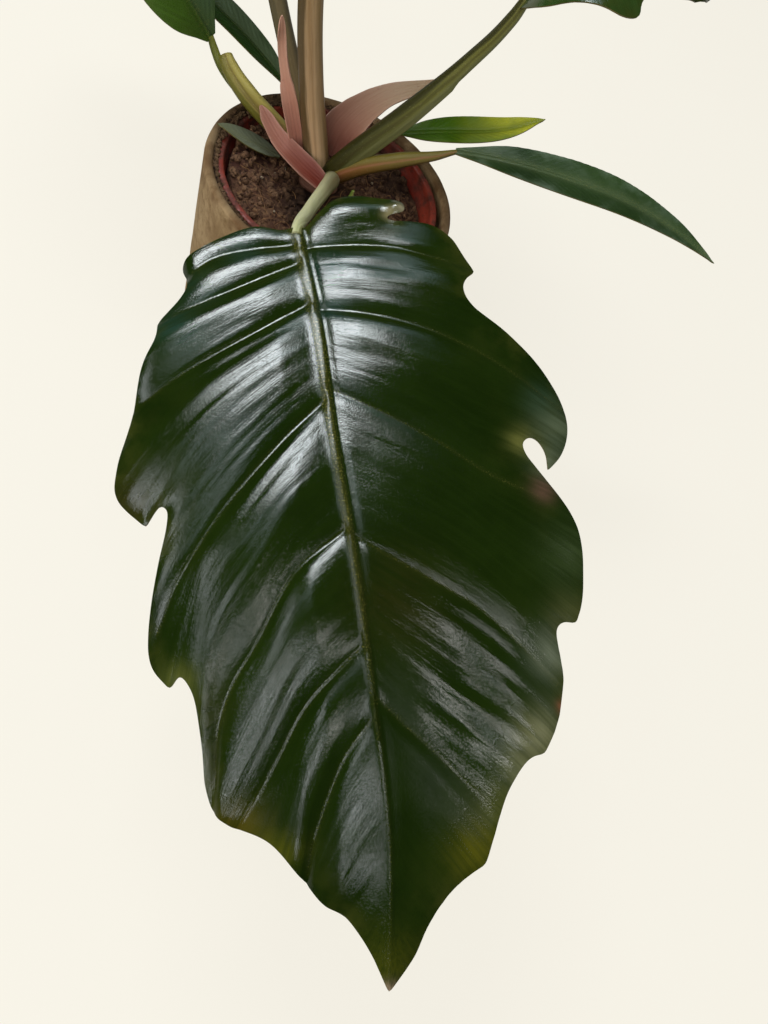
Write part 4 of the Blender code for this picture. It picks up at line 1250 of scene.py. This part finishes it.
def blade_relief(flat, veins, near, edge_gap, length, folds):
    """How far each point of a lobed blade's upper face stands up from the bent sheet: the round midrib
    with a groove along its right, sunken side veins, swollen panels between them, and fine ripples."""
    start, share, span = near
    u, v = flat[:, 0] * FRONT_LENGTH / length, np.abs(flat[:, 1]) * FRONT_LENGTH / length
    left = flat[:, 1] > 0
    scale = (length / FRONT_LENGTH) ** 0.5
    rib = rib_width(flat, length) / scale

    # The midrib is sharper on its left, and on its right it is round with a groove beside it
    crown = np.interp(u / FRONT_LENGTH, (0, 0.3, 0.75, 1), (1.1, 1.0, 0.6, 0.1))
    round_rib = np.clip(1 - (v / rib) ** 2, 0, 1) ** 0.75
    height = crown * np.where(left, np.exp(-(v / (0.85 * rib)) ** 2), round_rib)
    height -= np.where(left, 0.0, 0.35) * crown * np.exp(-((v - rib - 0.8) / 1.5) ** 2)

    # Past its middle the blade is raised along the midrib, and both halves fall away from it. The
    # right half lies a little lower from nearer the base on.
    low = eased(u, 130, 200)
    wing = np.minimum(v, 45)
    right_fall = 6.0 * np.tanh(v / 16) - 2.4 * eased(v, 30, 55)
    fall = np.where(left, 0.26 * wing * (1 - wing / 90), right_fall)
    height += low * (2.4 * (1 - eased(u, 235, FRONT_LENGTH)) - fall)
    height -= np.where(left, 0, eased(u, 62, 92)) * 1.8 * np.tanh(v / 20)

    # Sunken side veins, and the panels that swell between them
    gap, tipward, out = beside_vein(flat, veins)
    depth = np.interp(out, (0, 0.15, 0.6, 1), (1.2, 1.1, 0.8, 0.15))
    depth *= np.where(left, 1 + 0.2 * low, 0.8)
    height -= depth * np.exp(-np.sqrt(gap ** 2 + 0.3) / np.where(tipward, 2.3, 1.6))
    swell = np.where(left, 1.7 + 0.7 * eased(u, 120, 170), 0.3 + 1.5 * eased(u, 66, 40))
    swell *= np.sin(np.pi * np.clip(share, 0, 1) ** 0.75)
    height += swell * np.clip(span / 34, 0, 1) * np.clip(v / 16, 0, 1)

    # Fine ripples that run along the fine veins
    side = np.sign(flat[:, 1])
    fine = 0.26 * ripples(start / 4 + 100, v / 40 + side * 7 + 50, 1)
    fine += 0.09 * ripples(start / 1.9 + 30, v / 26 + side * 7 + 90, 2)
    tipmost = eased(u, 195, 245)
    right_calm = 0.35 + 0.65 * np.maximum(eased(u, 150, 185), eased(u, 70, 40))
    calm = np.where(left, 1 - 0.35 * low + 0.55 * tipmost, right_calm)
    height += fine * calm * np.clip((v - 3) / (25 - 15 * tipmost), 0, 1)
    height += 0.05 * ripples(start / 1.25, v / 15 + side * 9 + 40, 3)

    # Single swellings and dips, and the edge, which turns down a little
    for spot, heading, long, wide, high in folds:
        ahead = np.array(heading) / math.hypot(*heading)
        off = flat - spot
        beside_fold = off @ (-ahead[1], ahead[0])
        height += high * np.exp(-((off @ ahead) / long) ** 2 - (beside_fold / wide) ** 2)
    return scale * height - 0.7 * np.exp(-edge_gap / 2.6)


def blade_finish(name, deep, light, vein, margin, tip=None, sheen_side=None, roughness=0.09):
    """The upper face of a blade: uneven green, paler veins, tinted margins and a fine-celled gloss.
    A young blade turns paler to its tip, a folded one has a paler painted sheen on its far side, and the
    front leaf's tints include painted sheen and painted reflections."""
    made, tree, shader, place = new_finish(name, roughness)
    grain = kept(tree, "grain")
    near_vein, near_edge, share = parts(tree, kept(tree, "marks"))
    wide, fine = streaks(tree, grain, 2.2, 14)
    colour = blend(tree, clouds(tree, place, 34, 0.3, 0.7), deep, light)
    colour = blend(tree, ramp(tree, wide, 0.4, 0.7, 0.0, 0.4), colour, light)
    colour = blend(tree, ramp(tree, fine, 0.45, 0.7, 0.0, 0.3), colour, deep)
    if tip:
        colour = blend(tree, ramp(tree, share, 0.3, 0.85), colour, tip)
    # Painted sheen: the far half of a folded blade is paler and greyer
    if sheen_side:
        across = parts(tree, grain)[1]
        colour = blend(tree, ramp(tree, across, -6, 6, 0.0, 0.85), colour, sheen_side)
    tinted = times(tree, near_edge, clouds(tree, place, 20, 0.42, 0.66, 5.0))
    colour = blend(tree, times(tree, tinted, 0.8), colour, margin)
    colour = blend(tree, times(tree, near_vein, 0.8), colour, vein)
    dots = clouds(tree, place, 0.55, 0.55, 0.68, 2.0)
    on_rib = times(tree, near_vein, 0.85, dots)
    colour = blend(tree, on_rib, colour, paint(150, 142, 70))
    # The front leaf's tints: its own marks, with painted sheen and painted sky reflections among them
    tint_and_sheen = put(tree, "ShaderNodeAttribute", attribute_name="tint_and_sheen")
    tint_sheen_amount = times(tree, tint_and_sheen.outputs["Alpha"], ramp(tree, wide, 0.3, 0.65, 0.45, 1.0))
    coat(tree, shader, blend(tree, tint_sheen_amount, colour, tint_and_sheen.outputs["Color"]))
    cells = specks(tree, place, 1.7, 2.0, 0.6)
    gloss = ramp(tree, cells, 0.3, 0.7, roughness - 0.03, roughness + 0.06)
    tree.links.new(gloss, shader.inputs["Roughness"])
    height = plus(tree, times(tree, wide, 1.6), times(tree, fine, 1.9))
    relief(tree, shader, plus(tree, height, times(tree, cells, 1.7)), 0.035)
    return made


def dimmed(colour, share):
    """A darker colour of the same hue."""
    return tuple(share * c for c in colour[:3]) + (1.0,)


def under_finish(name, flesh):
    """The underside of a blade: paler and duller, with raised veins."""
    made, tree, shader, place = new_finish(name, 0.5)
    grain = kept(tree, "grain")
    near_vein = parts(tree, kept(tree, "marks"))[0]
    wide, fine = streaks(tree, grain, 1.8, 18, 3.0)
    vein, darker = paint(142, 136, 84), dimmed(flesh, 0.72)
    colour = blend(tree, clouds(tree, place, 24, 0.3, 0.7, 2.0), flesh, darker)
    colour = blend(tree, ramp(tree, wide, 0.42, 0.66, 0.0, 0.5), colour, darker)
    colour = blend(tree, ramp(tree, fine, 0.5, 0.72, 0.0, 0.4), colour, vein)
    coat(tree, shader, blend(tree, near_vein, colour, vein))
    relief(tree, shader, plus(tree, times(tree, wide, 1.2), fine), 0.16)
    return made


def edge_finish(name):
    """The thin edge of a blade, olive and a little uneven."""
    made, tree, shader, place = new_finish(name, 0.45)
    olive = paint(104, 96, 48)
    coat(tree, shader, blend(tree, clouds(tree, place, 9, 0.35, 0.65), olive, dimmed(olive, 0.55)))
    relief(tree, shader, clouds(tree, place, 0.8), 0.08)
    return made


# Tints on the front leaf: place (along, across), radius, and the colour with its strength. Some are the
# leaf's own olive, brown and reddish marks; the pale grey-green ones on the right half are painted
# sheen, and the teal ones near the base are painted reflections of the sky.
FRONT_TINTS_AND_SHEEN = (
    ((-3.4, -40), 3, (132, 122, 88), 0.85), ((-4.5, -46), 2.6, (150, 140, 112), 0.8),
    ((226, 48), 9, (84, 72, 16), 0.55), ((236, 35), 6, (84, 84, 14), 0.5),
    ((241, -29), 8, (92, 88, 16), 0.6), ((104, -73), 6, (104, 104, 50), 0.7),
    ((98, -90), 10, (96, 106, 84), 0.5), ((114, -82), 7, (104, 112, 92), 0.6),
    ((150, -82), 12, (70, 84, 50), 0.4), ((172, -74), 8, (92, 92, 56), 0.5),
    ((274, 0), 10, (64, 66, 12), 0.7), ((281, 0), 3, (150, 128, 108), 0.9),
    ((110, 75), 8, (58, 50, 20), 0.6), ((177, 63), 6, (92, 96, 44), 0.6),
    ((125, -76), 5, (110, 76, 66), 0.5), ((203, -66), 2.5, (150, 70, 50), 0.7),
    ((160, -14), 18, (44, 38, 12), 0.4), ((207, -62), 9, (80, 86, 60), 0.4),
    ((184, -66), 8, (112, 118, 98), 0.55), ((211, -55), 8, (122, 120, 86), 0.6),
    ((220, -46), 6, (124, 124, 92), 0.45), ((229, -38), 6, (88, 90, 44), 0.45),
    ((40, 54), 9, (34, 62, 56), 0.5), ((22, 42), 8, (30, 54, 48), 0.4),
    ((5, 23), 8, (40, 64, 58), 0.4), ((21, -10), 8, (34, 62, 62), 0.5),
    ((40, -6), 7, (30, 56, 56), 0.4), ((84, -86), 8, (56, 76, 60), 0.4),
)


def painted(flat, tints_and_sheen):
    """The colour and strength of the tints, own marks and painted sheen, at each point of a blade."""
    colours = np.zeros((len(flat), 4))
    for spot, radius, colour, strength in tints_and_sheen:
        near = strength * np.exp(-(np.hypot(*(flat - spot).T) / radius) ** 2)
        linear = np.array(paint(*colour)[:3])
        total = colours[:, 3] + near * (1 - colours[:, 3]) + 1e-9
        share = (near / total)[:, None]
        colours[:, :3] = colours[:, :3] * (1 - share) + linear * share
        colours[:, 3] = total
    return colours


def dress_blade(made, flat, start, near_vein, edge_gap, length, tints_and_sheen=()):
    """Keeps on a blade's points what its finishes read."""
    u, v = flat.T
    note(made, "grain", np.stack([start, 14 * np.tanh(v / 3), np.abs(v)], -1))
    note(made, "marks", np.stack([near_vein, np.exp(-edge_gap / 7), np.clip(u / length, 0, 1)], -1))
    layer = made.data.attributes.new("tint_and_sheen", "FLOAT_COLOR", "POINT")
    layer.data.foreach_set("color", painted(flat, tints_and_sheen).astype(np.float32).ravel())


GREEN = dict(deep=paint(16, 29, 2), light=paint(24, 38, 5), vein=paint(52, 54, 20),
             margin=paint(52, 56, 18))
BLADE_LOOKS = {
    "leaf_front": dict(GREEN),
    "leaf_rear": dict(GREEN, light=paint(32, 54, 14)),
    "leaf_rear_left": dict(GREEN, light=paint(32, 52, 14)),
    "leaf_right": dict(GREEN, deep=paint(28, 46, 12), light=paint(48, 70, 30)),
    "leaf_left": dict(deep=paint(54, 82, 16), light=paint(76, 112, 30), vein=paint(50, 72, 22),
                      margin=paint(70, 92, 30), sheen_side=paint(74, 96, 66), roughness=0.28),
    # leaf_long's pale grey-green margin colour is painted sheen along its edges
    "leaf_long": dict(deep=paint(34, 56, 20), light=paint(50, 74, 32), vein=paint(84, 102, 66),
                      margin=paint(104, 122, 100), roughness=0.36),
    "leaf_narrow": dict(deep=paint(28, 62, 0), light=paint(42, 80, 6), vein=paint(40, 60, 20),
                        margin=paint(48, 70, 30), sheen_side=paint(88, 104, 76), roughness=0.34),
    "leaf_bright": dict(deep=paint(44, 80, 0), light=paint(66, 104, 0), vein=paint(54, 88, 4),
                        margin=paint(96, 122, 50), tip=paint(184, 186, 40), roughness=0.36),
    "leaf_small": dict(deep=paint(98, 104, 84), light=paint(120, 126, 104), vein=paint(112, 118, 90),
                       margin=paint(112, 116, 88), roughness=0.4),
}
UNDERSIDES = {"leaf_left": paint(96, 128, 56), "leaf_bright": paint(140, 164, 84),
              "leaf_small": paint(120, 128, 96), "leaf_long": paint(92, 112, 84),
              "leaf_narrow": paint(84, 104, 78)}
SPACING = {"leaf_front": 1.15, "leaf_rear": 2.2, "leaf_rear_left": 2.2, "leaf_right": 1.8}
LOBED_THICKNESS = 0.7
PLAIN_THICKNESS = 0.6
LARGE_RIB = 4.0
SMALL_RIB = 2.6
PLAIN_RIB = 1.9


def finishes_of(name):
    """A blade's three finishes: its upper face, its underside and its edge."""
    flesh = UNDERSIDES.get(name, paint(104, 112, 58))
    return (blade_finish(name + "_upper", **BLADE_LOOKS[name]), under_finish(name + "_under", flesh),
            edge_finish(name + "_edge"))


for name, spacing in SPACING.items():
    left, right, veins = sides_of(name)
    flat, faces, lines, ring = filled(left, right, veins, spacing)
    u, v = flat.T
    length = u.max()
    start, share, span = flow(flat, veins, length)
    vein_gap = distance(flat, lines[1:])
    edge_gap = distance(flat, [ring])
    folds, tints_and_sheen = (FRONT_FOLDS, FRONT_TINTS_AND_SHEEN) if name == "leaf_front" else ((), ())
    raised = blade_relief(flat, veins, (start, share, span), edge_gap, length, folds)
    lain = flat
    if name == "leaf_front":
        lain, raised = rolled_under(flat, raised, FRONT_ROLL)
    made = piece_from(name + "_blade", bend(BLADES[name], lain, raised + 0.1), faces)
    rib_half = rib_width(flat, length)
    rib_colour = 1 - 0.8 * eased(u / length, 0.45, 0.75)
    near_vein = np.maximum(np.clip(1.25 - np.abs(v) / rib_half, 0, 1) * rib_colour,
                           0.22 * np.exp(-(vein_gap / 0.7) ** 2))
    dress_blade(made, flat, start, near_vein, edge_gap, length, tints_and_sheen)
    settle(made, name, "leaf", *finishes_of(name))
    weights = np.clip(1 - np.abs(v) / (1.3 * rib_half), 0, 1) * np.clip(1 - u / (0.97 * length), 0, 1)
    thicken(made, LOBED_THICKNESS, LARGE_RIB if length > 200 else SMALL_RIB, weights ** 0.7)
    shade(made, 75)

for name, (length, half_width, far_half) in PLAIN.items():
    made, flat = strip(name + "_blade", length, half_width, PLAIN_PROFILE, 150, 41)
    flat[:, 1] *= np.where(flat[:, 1] < 0, far_half / half_width, 1)
    u, v = flat[:, 0], np.abs(flat[:, 1])
    outline = half_width * np.interp(u / length, *zip(*PLAIN_PROFILE))
    start = u - 1.3 * v
    to_tip = np.clip(1 - u / length, 0, 1)
    rib_half = 0.5 + 0.9 * to_tip
    ripple = 0.10 * np.sin(start * math.tau / 4.6)
    ripple += 0.12 * rough(np.c_[start / 7, v / 20, np.sign(flat[:, 1])], 1.0)
    raised = 0.55 * to_tip * np.sqrt(np.clip(1 - (v / rib_half) ** 2, 0, 1))
    raised -= 0.35 * np.exp(-((v - rib_half) / 0.8) ** 2)
    raised += ripple * np.clip(v / (0.5 * half_width), 0, 1) * eased(outline - v, 0, 3)
    move_points(made, bend(BLADES[name], flat, raised + 0.2))
    near_vein = 0.7 * np.exp(-(v / (0.22 * half_width)) ** 2)
    dress_blade(made, flat, start, near_vein, outline - v, length)
    made.data.flip_normals()
    slot = "young_leaf" if name in ("leaf_bright", "leaf_left", "leaf_small") else "leaf"
    settle(made, name, slot, *finishes_of(name))
    weights = np.clip(1 - v / (1.4 * rib_half), 0, 1) * np.clip(1 - u / (0.97 * length), 0, 1)
    thicken(made, PLAIN_THICKNESS, PLAIN_RIB, weights)
    shade(made, 75)


# ---------------------------------------------------------------- sprout
# A young shoot stands in the compost in front of the stem: a soft green spike with a blunt tip. It
# grows up from the plant's root, and the compost holds it upright.
SPROUT = (((12, 2, 98), 1.8), ((12, 2, 116), 1.8), ((12.5, 1.5, 124), 0.8))
shoot = stalk_finish("sprout_skin", paint(132, 140, 74), paint(120, 144, 56), paint(96, 116, 44),
                     paint(160, 160, 96), paint(110, 124, 60))
settle(rod("sprout_shoot", SPROUT, ribbed(0.1, 0.05), (0, -1, 0), 20, 10), "sprout", "young_leaf", shoot)


# ---------------------------------------------------------------- floor, light and camera
# The pot stands on a plain pale floor. Soft daylight comes from a tall window on the far left, and
# further lamps stand for the rest of the room that the glossy leaves mirror. The camera looks down on
# the front leaf, turned as it was for the photograph.
deselect()
bpy.ops.mesh.primitive_plane_add(size=24, location=(0, 0, 0))
floor = bpy.context.object
floor.name = "floor"
cream = bpy.data.materials.new("cream_floor")
cream.use_nodes = True
tree = cream.node_tree
shader = tree.nodes["Principled BSDF"]
shader.inputs["Base Color"].default_value = (0.12, 0.115, 0.10, 1)
shader.inputs["Roughness"].default_value = 1.0
shader.inputs["Specular IOR Level"].default_value = 0.0
shader.inputs["Emission Color"].default_value = (0.80, 0.77, 0.69, 1)
path = put(tree, "ShaderNodeLightPath")
glow = ramp(tree, path.outputs["Is Camera Ray"], 0, 1, 0.3, 1.0)
tree.links.new(glow, shader.inputs["Emission Strength"])
floor.data.materials.append(cream)

# The room: pale to the camera, dim where the glossy leaves mirror it, and brighter as soft light
world = bpy.data.worlds.new("room")
bpy.context.scene.world = world
world.use_nodes = True
tree = world.node_tree
sky = tree.nodes["Background"]
path = put(tree, "ShaderNodeLightPath")
colour = blend(tree, path.outputs["Is Glossy Ray"], (0.42, 0.42, 0.41, 1), (0.015, 0.018, 0.018, 1))
colour = blend(tree, path.outputs["Is Camera Ray"], colour, (0.90, 0.87, 0.79, 1))
tree.links.new(colour, sky.inputs["Color"])

# Each soft lamp: the way to it from the front leaf, the way its height runs, half its width and half
# its height in degrees as the leaf sees them, its brightness and its colour. Places are in metres.
LEAF_MIDDLE = Vector((0.12, -0.21, 0.185))
LAMPS = {
    "window": ((-0.52, 0.29, 0.81), (0.73, 0.68, 0), 5, 11, 25.0, (0.92, 0.97, 1.0)),
    "sky": ((-0.45, 0.52, 0.72), (0.73, 0.68, 0), 6, 12, 1.8, (0.66, 0.90, 1.0)),
    "high_window": ((-0.42, 0.02, 0.90), (0, 1, 0), 3, 9, 3.4, (0.80, 0.94, 1.0)),
    "door": ((-0.02, -0.49, 0.87), (0, 1, 0), 3, 5, 13.0, (0.94, 0.97, 1.0)),
    "low_lamp": ((0.24, -0.66, 0.71), (0, 1, 0), 3, 5, 9.0, (0.94, 0.97, 1.0)),
    "side_wall": ((-0.14, -0.60, 0.79), (0, 1, 0), 11, 13, 0.3, (0.92, 0.97, 1.0)),
    "far_window": ((-0.56, -0.34, 0.75), (0.35, -0.40, 0.06), 3, 12, 6.5, (0.92, 0.97, 1.0)),
    "right_strip": ((0.46, -0.02, 0.89), (0, 1, 0), 4, 13, 0.45, (0.97, 1.0, 0.97)),
    "ceiling_lamp": ((0.22, -0.24, 0.945), (0, 1, 0), 4, 2.5, 15.0, (1.0, 0.98, 0.95)),
    "room_fill": ((-0.42, -0.82, 0.32), (0, 0, 1), 30, 22, 2.1, (1.0, 0.96, 0.90)),
}
LAMP_DISTANCE = 1.5
for name, (way, height_way, half_width, half_height, bright, colour) in LAMPS.items():
    deselect()
    back = Vector(way).normalized()
    bpy.ops.object.light_add(type="AREA", location=LEAF_MIDDLE + back * LAMP_DISTANCE)
    made = bpy.context.object
    made.name = name
    up = (Vector(height_way) - back * back.dot(Vector(height_way))).normalized()
    made.rotation_euler = Matrix((up.cross(back), up, back)).transposed().to_euler()
    made.data.shape = "RECTANGLE"
    made.data.size = 2 * LAMP_DISTANCE * math.tan(math.radians(half_width))
    made.data.size_y = 2 * LAMP_DISTANCE * math.tan(math.radians(half_height))
    made.data.energy = bright * math.pi * made.data.size * made.data.size_y
    made.data.color = colour
    made.visible_glossy = name != "room_fill"

# The camera's place in metres, the directions right, down and ahead in its picture, and its film and
# lens in mm
CAMERA_PLACE = (0.1335, -0.3519, 0.4206)
RIGHT = Vector((0.8136, 0.4907, 0.3122))
DOWN = Vector((0.5814, -0.6867, -0.4369))
AHEAD = Vector((0.0, 0.5369, -0.8437))
FILM = 36.0
LENS = 27.07
bpy.ops.object.camera_add(location=CAMERA_PLACE)
camera = bpy.context.object
camera.rotation_euler = Matrix((RIGHT, -DOWN, -AHEAD)).transposed().to_euler()
camera.data.sensor_width = FILM
camera.data.lens = LENS
camera.data.clip_start = 0.01
bpy.context.scene.camera = camera
bpy.context.scene.view_settings.view_transform = "Standard"
